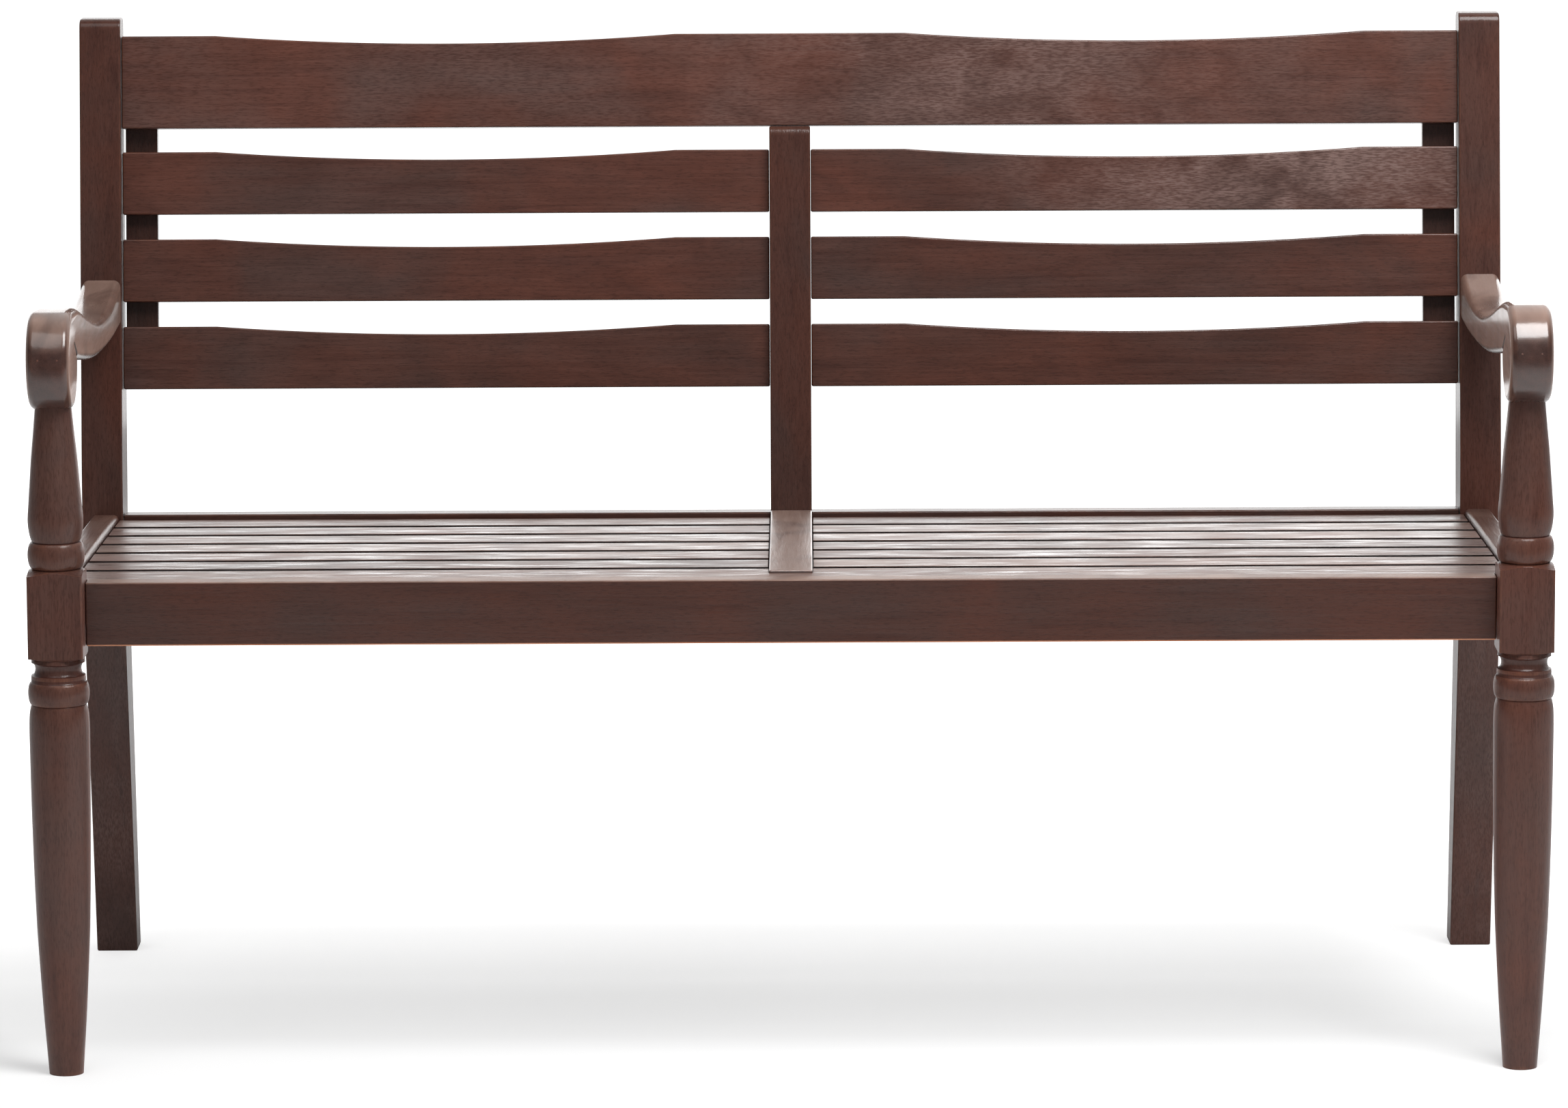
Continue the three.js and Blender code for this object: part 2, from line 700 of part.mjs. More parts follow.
/** A side rail: upright ends, sloping edges and a broad chamfer on the inner top edge. */
function sideRail(side) {
  const [front, rear] = [blockBack + fitGap, seatDepth - fitGap];
  const [frontTop, rearTop] = [front, rear].map((y) => seatLevel(y) + sideRailRise);
  const outline = new THREE.Shape([
    new THREE.Vector2(front, frontTop - sideRailHeight),
    new THREE.Vector2(rear, rearTop - sideRailHeight),
    new THREE.Vector2(rear, rearTop),
    new THREE.Vector2(front, frontTop),
  ]);
  const middle = side * (sideRailInner + sideRailOuter) * half;
  const inner = -side * sideRailThickness * half;
  const chamfer = new THREE.BoxGeometry(sideRailChamfer * 2, seatDepth * 2, sideRailChamfer * 2)
    .rotateY(Math.PI * half * half)
    .translate(inner, 0, sideRailRise + sideRailChamfer * (Math.SQRT2 - 1))
    .applyMatrix4(seat.matrix);
  const tenons = [true, false].map((atFront) => sideRailTenon(side, atFront, 0).translate(-middle, 0, 0));
  return shaped(sideBoard(outline, sideRailThickness, arris), { join: tenons, cut: [chamfer] });
}

/** A strip under the outer ends of the seat slats, beside a side rail. */
function sideCleat() {
  return easedBoard(
    [-cleatWidth * half, frontRailBack + supportEndGap, -cleatHeight],
    [cleatWidth * half, seatDepth - supportEndGap, 0],
  );
}

/** The beam under the middle of the seat, from the front rail to the rear rail. */
function centreBearer() {
  return easedBoard(
    [-bearerWidth * half, frontRailBack + supportEndGap, -bearerHeight],
    [bearerWidth * half, rearRailFront - supportEndGap, 0],
  );
}

// Seat boards

const slatUnderside = -seatSlatThickness - fitGap;
const frontSlatFront = Math.max(frontRailBack, blockBack) + frontSlatGap;
const frontSlatBack = frontSlatFront + frontSlatWidth;
const slatField = rearRailFront - rearSlatSetback - frontSlatBack;
const seatSlatPitch = slatField / seatSlatCount;
const seatSlatWidth = seatSlatPitch - seatSlatGap;
const seatSlatOuter = sideRailInner - seatSlatEndGap;
const seatSlatInner = seatBoardWidth * half + seatSlatEndGap;

function frontSlat() {
  const board = easedBoard(
    [-seatSlatOuter, frontSlatFront, -seatSlatThickness],
    [seatSlatOuter, frontSlatBack, 0],
    seatSlatArris,
  );
  const reach = seatBoardWidth * half + fitGap;
  const housing = blockBetween(
    [-reach, frontSlatBack - seatBoardLap - fitGap, -seatSlatThickness - cutOverrun],
    [reach, frontSlatBack + cutOverrun, cutOverrun],
  );
  return shaped(board, { cut: [housing] });
}

function seatSlat() {
  const reach = (seatSlatOuter - seatSlatInner) * half;
  return easedBoard(
    [-reach, -seatSlatWidth * half, -seatSlatThickness],
    [reach, seatSlatWidth * half, 0],
    seatSlatArris,
  );
}

/** The board along the middle of the seat, which falls less than the slats and ends at the stile. */
function seatBoard() {
  const front = frontSlatBack - seatBoardLap;
  const rear = seatBoardEnd - fitGap;
  const outline = new THREE.Shape([
    new THREE.Vector2(front, -seatSlatThickness),
    new THREE.Vector2(rear, -seatSlatThickness),
    new THREE.Vector2(rear, seatBoardRearRise),
    new THREE.Vector2(front, seatBoardRise),
  ]);
  return sideBoard(outline, seatBoardWidth, seatBoardRise * half);
}

// Back

/** Top edge of a board with a shallow scoop in each bay, from its right end to its left. */
function scoopedEdge(left, right, top, bayCentres) {
  const points = [];
  for (const centre of [...bayCentres].sort((a, b) => b - a)) {
    for (let i = 0; i <= scoopSteps; i += 1) {
      const across = 1 - (2 * i) / scoopSteps;
      const dip = scoopDepth * (1 - across ** 2);
      points.push(new THREE.Vector2(centre + across * scoopLength * half, top - dip));
    }
  }
  return [new THREE.Vector2(right, top), ...points, new THREE.Vector2(left, top)];
}

const bayCentre = (postInner + stileWidth * half) * half;

function crestRail(screwHoles) {
  const end = postInner - fitGap;
  const outline = new THREE.Shape([
    new THREE.Vector2(-end, crestBottom),
    new THREE.Vector2(end, crestBottom),
    ...scoopedEdge(-end, end, crestTop, [-bayCentre, bayCentre]),
  ]);
  const board = frontBoard(outline, crestThickness, arris).translate(0, crestSetback, 0);
  return shaped(board, {
    join: [crestTenon(-1, 0), crestTenon(1, 0)],
    cut: [stileHeadTenon(fitGap), ...screwHoles],
  });
}

/** Tenon at the head of the centre stile, let into the crest rail, in the back's places. */
function stileHeadTenon(clearance) {
  const middle = crestSetback + crestThickness * half;
  return railTenon(
    [-stileTenonWidth * half, middle - stileTenonThickness * half, crestBottom - cutOverrun],
    [stileTenonWidth * half, middle + stileTenonThickness * half, crestBottom + stileTenonLength],
    clearance,
  );
}

/** Lower edge of a back slat, counted from the crest down. */
function backSlatBottom(index) {
  return crestBottom - crestSlatGap - backSlatHeight - index * (backSlatGap + backSlatHeight);
}

/** Tenon of a back slat at the stile, in the back's places. */
function backSlatTenon(side, index, clearance) {
  const middle = backSlatSetback + backSlatThickness * half;
  const sound = backSlatHeight - scoopDepth;
  const low = backSlatBottom(index) + sound * (1 - backSlatTenonHeightShare) * half;
  const high = low + sound * backSlatTenonHeightShare;
  return railTenon(
    [side * (stileWidth * half + cutOverrun), middle - backSlatTenonThickness * half, low],
    [side * (stileWidth * half - backSlatTenonLength), middle + backSlatTenonThickness * half, high],
    clearance,
  );
}

function backSlat(side, index, screwHoles) {
  const inner = stileWidth * half + fitGap;
  const outer = postInner - backSlatEndGap;
  const [left, right] = side > 0 ? [inner, outer] : [-outer, -inner];
  const bottom = backSlatBottom(index);
  const outline = new THREE.Shape([
    new THREE.Vector2(left, bottom),
    new THREE.Vector2(right, bottom),
    ...scoopedEdge(left, right, bottom + backSlatHeight, [side * bayCentre]),
  ]);
  const board = frontBoard(outline, backSlatThickness, arris).translate(0, backSlatSetback, 0);
  return shaped(board, { join: [backSlatTenon(side, index, 0)], cut: screwHoles });
}

/** The stile in the middle of the back, from the rear rail up to the crest, with a rounded head. */
function centreStile() {
  const [front, rear] = [stileSetback, stileSetback + stileThickness];
  const footRise = rearRailTop + fitGap - kneeTopHeight;
  const footAt = (y) => (footRise + y * Math.sin(backRake)) / Math.cos(backRake);
  const head = crestBottom - fitGap;
  const outline = new THREE.Shape();
  outline.moveTo(front, footAt(front));
  outline.lineTo(front, head - stileTopRounding);
  outline.quadraticCurveTo(front, head, front + stileTopRounding * half, head);
  outline.lineTo(rear, head);
  outline.lineTo(rear, footAt(rear));
  const slots = [];
  for (let index = 0; index < backSlatCount; index += 1) {
    slots.push(backSlatTenon(-1, index, fitGap), backSlatTenon(1, index, fitGap));
  }
  const toBack = back.matrix.clone().invert();
  return shaped(sideBoard(outline, stileWidth, arris), {
    join: [stileHeadTenon(0), stileFootTenon(0).applyMatrix4(toBack)],
    cut: slots,
  });
}

const battenOuter = postInner - battenEndGap;
const battenMiddle = battenOuter - battenWidth * half;
const battenFront = Math.max(backSlatSetback + backSlatThickness, crestSetback + crestThickness) + fitGap;
const battenTop = crestBottom + battenCrestLap;
const battenBottom = backSlatBottom(backSlatCount - 1) + battenFootShort;

/** Heights of the screws that hold a batten: one in the crest rail and one in each slat. */
const screwHeights = [
  crestBottom + battenCrestLap * half,
  ...Array.from({ length: backSlatCount }, (_, index) => backSlatBottom(index) + backSlatHeight * half),
];

/** A batten screw driven from behind, in the back's places, grown by a clearance. */
function battenScrew(side, height, clearance) {
  const screw = headedFastener(screwHeadRadius, screwHeadHeight, screwRadius, screwLength, clearance);
  const turnedIn = screw.rotateX(-Math.PI * half);
  return turnedIn.translate(side * battenMiddle, battenFront + battenThickness, height);
}

/** A batten behind the outer ends of the back slats, with packing where a slat is thinner than the crest. */
function backBatten(side) {
  const [left, right] = [-half, half].map((share) => side * battenMiddle + battenWidth * share);
  const rear = battenFront + battenThickness;
  const board = easedBoard([left, battenFront, battenBottom], [right, rear, battenTop]);
  const slatBack = backSlatSetback + backSlatThickness + fitGap;
  const packings = Array.from({ length: backSlatCount }, (_, index) => {
    const bottom = Math.max(backSlatBottom(index), battenBottom) + arris;
    const top = backSlatBottom(index) + backSlatHeight - scoopDepth;
    const depth = rear - battenThickness * half;
    return blockBetween([left + arris, slatBack, bottom], [right - arris, depth, top]);
  });
  const cut = screwHeights.map((height) => battenScrew(side, height, fitGap));
  return shaped(board, { join: slatBack < battenFront ? packings : [], cut });
}

// The assembly

for (const [side, hand] of [[-1, 'left'], [1, 'right']]) {
  addPiece(bench, `front_leg_${hand}`, frontLeg(side), [side * legSpacing * half, 0, 0], legColour);
  addPiece(bench, `rear_post_${hand}`, rearPost(side), [side * postSpacing * half, 0, 0], stainColour);
  addPiece(bench, `arm_${hand}`, arm(side), [side * legSpacing * half, 0, 0], stainColour);
  addPiece(
    bench,
    `side_rail_${hand}`,
    sideRail(side),
    [side * (sideRailInner + sideRailOuter) * half, 0, 0],
    stainColour,
  );
  addPiece(
    seat,
    `side_cleat_${hand}`,
    sideCleat(),
    [side * (sideRailInner - fitGap - cleatWidth * half), 0, slatUnderside],
    stainColour,
  );
  pinOffsets.forEach((offset, i) => {
    const place = [side * legSpacing * half, 0, 0];
    addPiece(bench, `arm_pin_${hand}_${i + 1}`, armPin(offset, 0), place, stainColour);
  });
  addPiece(bench, `arm_bolt_${hand}`, armBolt(0), [side * postSpacing * half, 0, 0], steelColour, 0.35, 0.9);

  addPiece(back, `back_batten_${hand}`, backBatten(side), [0, 0, 0], stainColour);
  screwHeights.forEach((height, i) => {
    addPiece(
      back,
      `batten_screw_${hand}_${i + 1}`,
      battenScrew(side, height, 0),
      [0, 0, 0],
      brassedColour,
      0.4,
      0.85,
    );
  });
  for (let index = 0; index < backSlatCount; index += 1) {
    const holes = [battenScrew(side, screwHeights[index + 1], fitGap)];
    addPiece(back, `back_slat_${hand}_${index + 1}`, backSlat(side, index, holes), [0, 0, 0], stainColour);
  }
  for (let index = 0; index < seatSlatCount; index += 1) {
    const x = side * (seatSlatInner + seatSlatOuter) * half;
    const y = frontSlatBack + seatSlatPitch * (index + half) + seatSlatGap * half;
    addPiece(seat, `seat_slat_${hand}_${index + 1}`, seatSlat(), [x, y, 0], seatColour);
  }
}

addPiece(bench, 'front_rail', frontRail(), [0, 0, 0], stainColour);
addPiece(bench, 'rear_rail', rearRail(), [0, 0, 0], stainColour);
addPiece(seat, 'centre_bearer', centreBearer(), [0, 0, slatUnderside], stainColour);
addPiece(seat, 'front_slat', frontSlat(), [0, 0, 0], seatColour);
addPiece(seat, 'seat_board', seatBoard(), [0, 0, 0], seatColour);
addPiece(
  back,
  'crest_rail',
  crestRail([-1, 1].map((side) => battenScrew(side, screwHeights[0], fitGap))),
  [0, 0, 0],
  stainColour,
);
addPiece(back, 'centre_stile', centreStile(), [0, 0, 0], stainColour);

export default assembly;
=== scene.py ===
import math

import bmesh
import bpy
from bpy.props import FloatProperty, FloatVectorProperty, IntProperty, PointerProperty
from mathutils import Euler, Matrix, Quaternion, Vector


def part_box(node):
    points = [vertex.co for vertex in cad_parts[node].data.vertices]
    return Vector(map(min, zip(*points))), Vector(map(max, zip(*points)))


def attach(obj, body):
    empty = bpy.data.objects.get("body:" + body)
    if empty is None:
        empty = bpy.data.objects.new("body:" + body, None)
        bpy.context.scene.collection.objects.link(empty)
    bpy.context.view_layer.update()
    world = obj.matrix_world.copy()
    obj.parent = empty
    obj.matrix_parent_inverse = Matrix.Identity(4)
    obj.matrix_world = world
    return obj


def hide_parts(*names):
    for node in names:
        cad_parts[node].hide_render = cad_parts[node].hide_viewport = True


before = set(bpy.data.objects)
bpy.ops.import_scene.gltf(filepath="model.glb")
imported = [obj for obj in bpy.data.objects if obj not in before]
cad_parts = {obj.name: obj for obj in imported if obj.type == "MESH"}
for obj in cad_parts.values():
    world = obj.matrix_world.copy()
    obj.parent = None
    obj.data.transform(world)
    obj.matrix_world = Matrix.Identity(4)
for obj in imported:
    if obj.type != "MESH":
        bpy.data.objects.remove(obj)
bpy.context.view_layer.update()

bl_info = {
    "name": "Slatted Bench",
    "version": (1, 0, 0),
    "blender": (4, 5, 0),
    "location": "View3D > Sidebar > Bench",
    "description": "Builds a stained hardwood bench with turned legs, scrolled arms and a waved slat back",
    "category": "Add Mesh",
}

SIDES = ((-1, "left"), (1, "right"))


def length(name, default, description):
    """A size in metres that a user would change."""
    return FloatProperty(name=name, description=description, default=default, unit="LENGTH", precision=4)


def angle(name, degrees, description):
    """An angle that a user would change."""
    return FloatProperty(name=name, description=description, default=math.radians(degrees), subtype="ANGLE")


def share(name, default, description):
    """A plain factor that a user would change."""
    return FloatProperty(name=name, description=description, default=default, subtype="FACTOR")


def power(name, default, description):
    """The power of a lamp in watts."""
    return FloatProperty(name=name, description=description, default=default, unit="POWER")


def colour(name, default, description):
    """A colour that a user would change, as linear red, green and blue."""
    return FloatVectorProperty(
        name=name, description=description, default=default, subtype="COLOR", size=3, min=0, max=1
    )


class BenchLayout(bpy.types.PropertyGroup):
    leg_spacing: length("Leg spacing", 1.290, "Between the axes of the front legs")
    post_spacing: length("Post spacing", 1.295, "Between the centres of the rear posts")
    seat_height: length("Seat height", 0.4401, "Floor to the top of the front rail")
    seat_depth: length("Seat depth", 0.454, "Front leg axis to the faces of the rear posts")
    leg_axis: length("Leg axis", -0.2551, "Place of the front leg axis from front to back")
    seat_tilt: angle("Seat tilt", 1.64, "How far the seat falls to the back")
    back_rake: angle("Back rake", 8.53, "How far the back leans away from the sitter")
    knee_rise: length("Knee rise", 0.0243, "Above the seat, where the rake of the posts starts")
    gap: length("Joint gap", 0.0003, "Fine line left open at every joint")
    arris: length("Arris", 0.0016, "Rounded edge of the straight boards")


class LegSizes(bpy.types.PropertyGroup):
    swell_height: length("Swell height", 0.333, "Tapered foot up to its shoulder")
    swell_radius: length("Swell radius", 0.0266, "Thickest part of the foot")
    bead_height: length("Bead height", 0.0202, "Round bead over the foot")
    bead_radius: length("Bead radius", 0.027, "Middle of the bead")
    bead_edge_radius: length("Bead edge radius", 0.024, "Quirks over and under the bead")
    fillet_height: length("Fillet height", 0.0058, "Plain band over the bead")
    fillet_radius: length("Fillet radius", 0.0241, "Plain band over the bead")
    cove_height: length("Cove height", 0.0117, "Hollow over the plain band")
    cove_radius: length("Cove radius", 0.0203, "Narrowest part of the hollow")
    collar_height: length("Collar height", 0.0034, "Plain band under the block")
    collar_radius: length("Collar radius", 0.0236, "Plain band under the block")
    block_width: length("Block width", 0.0485, "Square block at the seat")
    block_height: length("Block height", 0.08, "Square block at the seat")
    block_drop: length("Block shoulder", 0.0044, "How far the turning cuts the block's top corners")
    sole_drop: length("Block sole", 0.0024, "The same at the bottom corners")
    ring_height: length("Ring height", 0.0237, "Bead over the block")
    ring_radius: length("Ring radius", 0.0251, "Bead over the block")
    ring_edge_radius: length("Ring edge radius", 0.021, "Necks over and under the ring")
    vase_height: length("Vase height", 0.1219, "Upper turning under the arm")
    vase_radius: length("Vase radius", 0.0244, "Widest part of the upper turning")
    segments: IntProperty(name="Leg segments", description="Facets round a turning", default=64, min=16)


class PostSizes(bpy.types.PropertyGroup):
    width: length("Post width", 0.0385, "Seen from the front")
    height: length("Post height", 0.8927, "Floor to the top")
    top_depth: length("Top depth", 0.034, "Front to back at the top")
    knee_depth: length("Knee depth", 0.048, "Front to back at the seat")
    foot_depth: length("Foot depth", 0.0365, "Front to back at the floor")
    splay: length("Foot splay", 0.063, "How far the foot stands behind the knee")
    knee_bottom_drop: length("Knee bottom", 0.1057, "Below the seat, where the splay starts")
    knee_back_drop: length("Knee back", 0.0307, "Below the seat, the corner behind the knee")
    knee_easing: length("Knee easing", 0.0377, "Length blended at each side of a knee corner")
    top_rounding: length("Top rounding", 0.009, "Rounded top edges")


class ArmSizes(bpy.types.PropertyGroup):
    scroll_radius: length("Scroll radius", 0.04328, "Round front end of the arm")
    front_width: length("Front width", 0.0384, "Across the scroll")
    rear_width: length("Rear width", 0.034, "Across the arm at the post")
    rounding: length("Edge rounding", 0.0065, "Rounded edges of the arm")
    socket_depth: length("Leg socket", 0.005, "How far the leg is let into the scroll")
    socket_gap: length("Socket gap", 0.0009, "Line left open round the top of the leg")
    pin_radius: length("Pin radius", 0.0017, "Plugged pins in the scroll")
    pin_spacing: length("Pin spacing", 0.017, "Between the two pins")
    pin_rise: length("Pin rise", 0.0046, "Pins over the middle of the scroll")
    pin_length: length("Pin length", 0.038, "How deep the pins go")


class RailSizes(bpy.types.PropertyGroup):
    front_thickness: length("Front rail thickness", 0.022, "Front to back")
    front_height: length("Front rail height", 0.0565, "Top to bottom")
    front_setback: length("Front rail setback", 0.002, "Leg axis to the rail's face")
    rear_thickness: length("Rear rail thickness", 0.020, "Front to back")
    rear_height: length("Rear rail height", 0.0565, "Top to bottom")
    rear_setback: length("Rear rail setback", 0.003, "Post face to the rail's face")
    rear_rise: length("Rear rail rise", 0.0044, "Above the slats in front of it")
    side_thickness: length("Side rail thickness", 0.0235, "Across the rail")
    side_height: length("Side rail height", 0.056, "Top to bottom")
    side_inset: length("Side rail inset", 0.004, "Outside the inner face of the post")
    side_rise: length("Side rail rise", 0.005, "Above the slats beside it")
    side_chamfer: length("Side rail chamfer", 0.004, "Broad chamfer of the inner top edge")


class SeatSizes(bpy.types.PropertyGroup):
    slat_count: IntProperty(name="Slats per bay", description="Behind the front slat", default=6, min=1)
    slat_thickness: length("Slat thickness", 0.016, "Top to bottom")
    slat_gap: length("Slat gap", 0.0135, "Between two slats")
    slat_end_gap: length("Slat end gap", 0.0009, "At both ends of a slat")
    slat_arris: length("Slat arris", 0.0006, "Rounded edges of the slats")
    front_width: length("Front slat width", 0.055, "Long slat behind the front rail")
    front_gap: length("Front slat gap", 0.0009, "Behind the front rail")
    rear_setback: length("Last slat setback", 0.005, "Last slat to the rear rail")
    board_width: length("Board width", 0.0385, "Board in the middle of the seat")
    board_rise: length("Board rise", 0.0024, "Above the front slat")
    board_rear_rise: length("Board rear rise", 0.007, "Above the slats at its rear end")
    board_lap: length("Board lap", 0.030, "How far it reaches over the front slat")


class BackSizes(bpy.types.PropertyGroup):
    crest_height: length("Crest height", 0.0869, "Top rail of the back")
    crest_drop: length("Crest drop", 0.015, "Post top to crest top")
    crest_thickness: length("Crest thickness", 0.020, "Front to back")
    crest_setback: length("Crest setback", 0.009, "Post face to crest face")
    slat_share: share("Slat share", 0.1613, "Height of a slat as a share of the open back")
    gap_share: share("Gap share", 0.064, "Gap between slats as a share of the open back")
    crest_gap_share: share("Crest gap share", 0.0603, "Gap under the crest as a share of the open back")
    slat_thickness: length("Slat thickness", 0.014, "Front to back")
    slat_setback: length("Slat setback", 0.013, "Post face to slat face")
    slat_end_gap: length("Slat end gap", 0.0004, "Between slat and post")
    slat_count: IntProperty(name="Back slats", description="Slats in each bay", default=3, min=1)
    scoop_length: length("Scoop length", 0.432, "Shallow scoop in the top edges")
    scoop_depth: length("Scoop depth", 0.0081, "Shallow scoop in the top edges")
    stile_width: length("Stile width", 0.0385, "Upright in the middle of the back")
    stile_thickness: length("Stile thickness", 0.025, "Front to back")
    stile_setback: length("Stile setback", 0.002, "Post face to stile face")
    stile_rounding: length("Stile rounding", 0.009, "Rounded head of the stile")
    batten_width: length("Batten width", 0.030, "Strip behind the slat ends")
    batten_thickness: length("Batten thickness", 0.012, "Front to back")
    batten_gap: length("Batten gap", 0.002, "Between batten and post")
    batten_lap: length("Batten lap", 0.028, "Over the back of the crest")
    batten_short: length("Batten foot", 0.012, "Above the lower edge of the last slat")


class FastenerSizes(bpy.types.PropertyGroup):
    screw_radius: length("Screw head radius", 0.004, "Screws of the battens")
    screw_height: length("Screw head height", 0.0024, "Screws of the battens")
    screw_slot: length("Screw slot", 0.0009, "Width of the cross slot")
    bolt_radius: length("Bolt head radius", 0.0065, "Bolts of the arms")
    bolt_height: length("Bolt head height", 0.005, "Bolts of the arms")
    bolt_socket: length("Bolt socket", 0.003, "Hexagon socket in the bolt head")
    brass: colour("Brass", (0.30, 0.20, 0.08), "Screws of the battens")
    brass_roughness: share("Brass roughness", 0.4, "Roughness of the screws")
    steel: colour("Steel", (0.42, 0.41, 0.39), "Bolts of the arms")
    steel_roughness: share("Steel roughness", 0.35, "Roughness of the bolts")


class WoodFinish(bpy.types.PropertyGroup):
    # The dark stain colours the grain, and is also painted shade in the hollows
    dark: colour("Dark stain", (0.033, 0.0107, 0.0078), "Deep stain along the grain and in hollows")
    middle: colour("Stain", (0.057, 0.0222, 0.0158), "Main colour of the stained wood")
    cool: colour("Cool stain", (0.0557, 0.0285, 0.0232), "Greyer areas of the stain")
    red: colour("Red stain", (0.082, 0.0255, 0.0155), "Redder areas of the stain")
    worn: colour("Worn wood", (0.21, 0.075, 0.036), "Orange wood laid bare on edges and beads")
    # The bare wood is worn wood on a lower edge, painted brighter than the shade there
    bare: colour("Bare wood", (0.5, 0.2, 0.1), "Bare wood along a lower edge")
    # haze is a painted highlight colour, laid in pale patches and round a given place
    highlight_haze: colour("Dull haze", (0.165, 0.105, 0.092), "Dull bloom on the lighter boards")
    # bleached is a painted sheen colour, for faces that look up or aside
    bleached: colour("Bleached top", (0.245, 0.155, 0.122), "Paler wood on faces that look up to the light")
    streaks: share("Streaks", 0.11, "How much the fine streaks lighten and darken the stain")
    pores: share("Pores", 0.22, "How dark the short pore flecks are")
    roughness: share("Roughness", 0.42, "Roughness of the wood under the lacquer")
    lacquer: share("Lacquer", 0.9, "Strength of the satin lacquer")
    lacquer_roughness: share("Lacquer roughness", 0.15, "Roughness of the satin lacquer")


class StageSettings(bpy.types.PropertyGroup):
    camera_place: FloatVectorProperty(
        name="Camera place",
        description="Where the camera stands",
        default=(0.0137, -6.6183, 1.4661),
        subtype="TRANSLATION",
        unit="LENGTH",
        size=3,
    )
    pitch: angle("Camera pitch", 8.954, "How far the camera looks down")
    yaw: angle("Camera yaw", 0.175, "How far the camera turns to the left")
    roll: angle("Camera roll", -0.287, "How far the camera leans")
    lens: FloatProperty(name="Lens", description="Focal length", default=168.45, unit="CAMERA")
    sky: share("Sky strength", 0.46, "Even light from all sides")
    key_power: power("Key power", 88.0, "Soft lamp over the right front")
    fill_power: power("Fill power", 13.0, "Soft lamp over the left front")
    back_power: power("Back power", 30.0, "Wide panel behind the bench")
    floor_white: share("Floor white", 0.6, "Part of the floor's white that the bench can shade")
    mirrored_room: share("Mirrored room", 0.22, "Whiteness of the room in front of the bench, in its gloss")
    mirrored_left: share("Mirrored left", 0.5, "Whiteness of the left end of the backdrop, in the gloss")
    mirrored_front: share("Mirrored front", 0.3, "Whiteness of the floor far in front, in the gloss")
    # The glows paint light and shade on the floor: a lower glow under the seat's front edge deepens the
    # shadow there, and a full glow away from and behind the bench hides it
    near_glow: share("Near glow", 0.58, "Part of the floor's white that stays in the bench's shadow")
    front_glow: share("Front glow", 0.36, "The same under the front edge of the seat")
    far_glow: share("Far glow", 0.92, "The same far away from the bench")


GROUPS = {
    "bench_layout": BenchLayout,
    "bench_legs": LegSizes,
    "bench_posts": PostSizes,
    "bench_arms": ArmSizes,
    "bench_rails": RailSizes,
    "bench_seat": SeatSizes,
    "bench_back": BackSizes,
    "bench_fasteners": FastenerSizes,
    "bench_wood": WoodFinish,
    "bench_stage": StageSettings,
}

# Outline shares of the turnings: (height share, radius share)
SWELL_SHARES = (
    (0, 0.57), (0.061, 0.625), (0.173, 0.724), (0.37, 0.864), (0.454, 0.904), (0.538, 0.936), (0.65, 0.964),
    (0.763, 0.985), (0.873, 0.996), (0.936, 1), (0.973, 0.98), (0.992, 0.938), (1, 0.905),
)
VASE_SHARES = (
    (0, 0.86), (0.03, 0.918), (0.08, 0.97), (0.144, 1), (0.2, 0.99), (0.253, 0.967), (0.328, 0.939),
    (0.476, 0.881), (0.626, 0.824), (0.774, 0.75), (0.924, 0.68), (1, 0.65),
)
# Edges of the arm: (share of its length, share of the scroll radius)
ARM_TOP_SHARES = (
    (0, 1), (0.104, 0.92), (0.208, 0.71), (0.312, 0.465), (0.415, 0.245), (0.509, 0.085),
    (0.602, -0.01), (0.706, -0.045), (0.831, 0.015), (0.935, 0.17), (1.06, 0.4),
)
ARM_UNDERSIDE_SHARES = (
    (1.06, -0.69), (0.987, -0.715), (0.893, -0.75), (0.831, -0.764), (0.727, -0.755), (0.623, -0.72),
    (0.519, -0.665), (0.415, -0.575), (0.322, -0.458), (0.208, -0.294), (0.12, -0.16),
)
CURL_CUT_SHARES = ((1.1, -0.26), (1.04, -0.02), (0.3, 0.36), (0.26, 0.3))
# Degrees round the scroll where the underside leaves it and where the top meets it
CURL_MEET = -6
CURL_TOP = 90
FULL_TURN = 360
# Steps along the curves
SWELL_STEPS = 48
VASE_STEPS = 36
BAND_STEPS = 14
SHOULDER_STEPS = 6
ARM_STEPS = 44
ARM_EDGE_STEPS = 5
SCROLL_STEPS = 64
CORNER_STEPS = 8
SCOOP_STEPS = 32
ARRIS_STEPS = 3
FINE_ARRIS_STEPS = 4
CHAMFER_STEPS = 2
# Facets round the small turnings
PIN_FACETS = 24
SCREW_FACETS = 32
BOLT_FACETS = 40
HEXAGON = 6
# Shares of a pin's radius: at the face of the scroll and at its tip
PIN_CROWN = (0.8, 0.4)
# Outline of a screw: (radius share, height share), then length and depth of its cross slot
SCREW_SHARES = ((0.5, -3), (0.5, -1), (1, -0.2), (1, 0))
SLOT_REACH = 0.68
SLOT_DEPTH = 0.6
# Shares of a bolt: chamfer of its radius, depth of its socket
BOLT_CHAMFER = 0.1
SOCKET_DEPTH = 0.7
# Rounded edge of the seat board as a share of its rise, height of the arm's cage in scroll radii
BOARD_EASING = 0.6
CAGE_RADII = 4
# How far a cut runs past the wood, how near two places count as one, the least area of a face
CUT_OVERRUN = 0.002
SAME_PLACE = 0.00025
TINY_AREA = 1e-9
# Corners sharper than this, in degrees, are kept crisp on a turning and rounded on a board
TURNING_CORNER = 32
BOARD_CORNER = 40
# How much broad faces weigh in the shading
FLAT_WEIGHT = 100
ARM_WEIGHT = 80
# Bends are kept per millimetre
BEND_UNIT = 1000


# Places worked out from the sizes


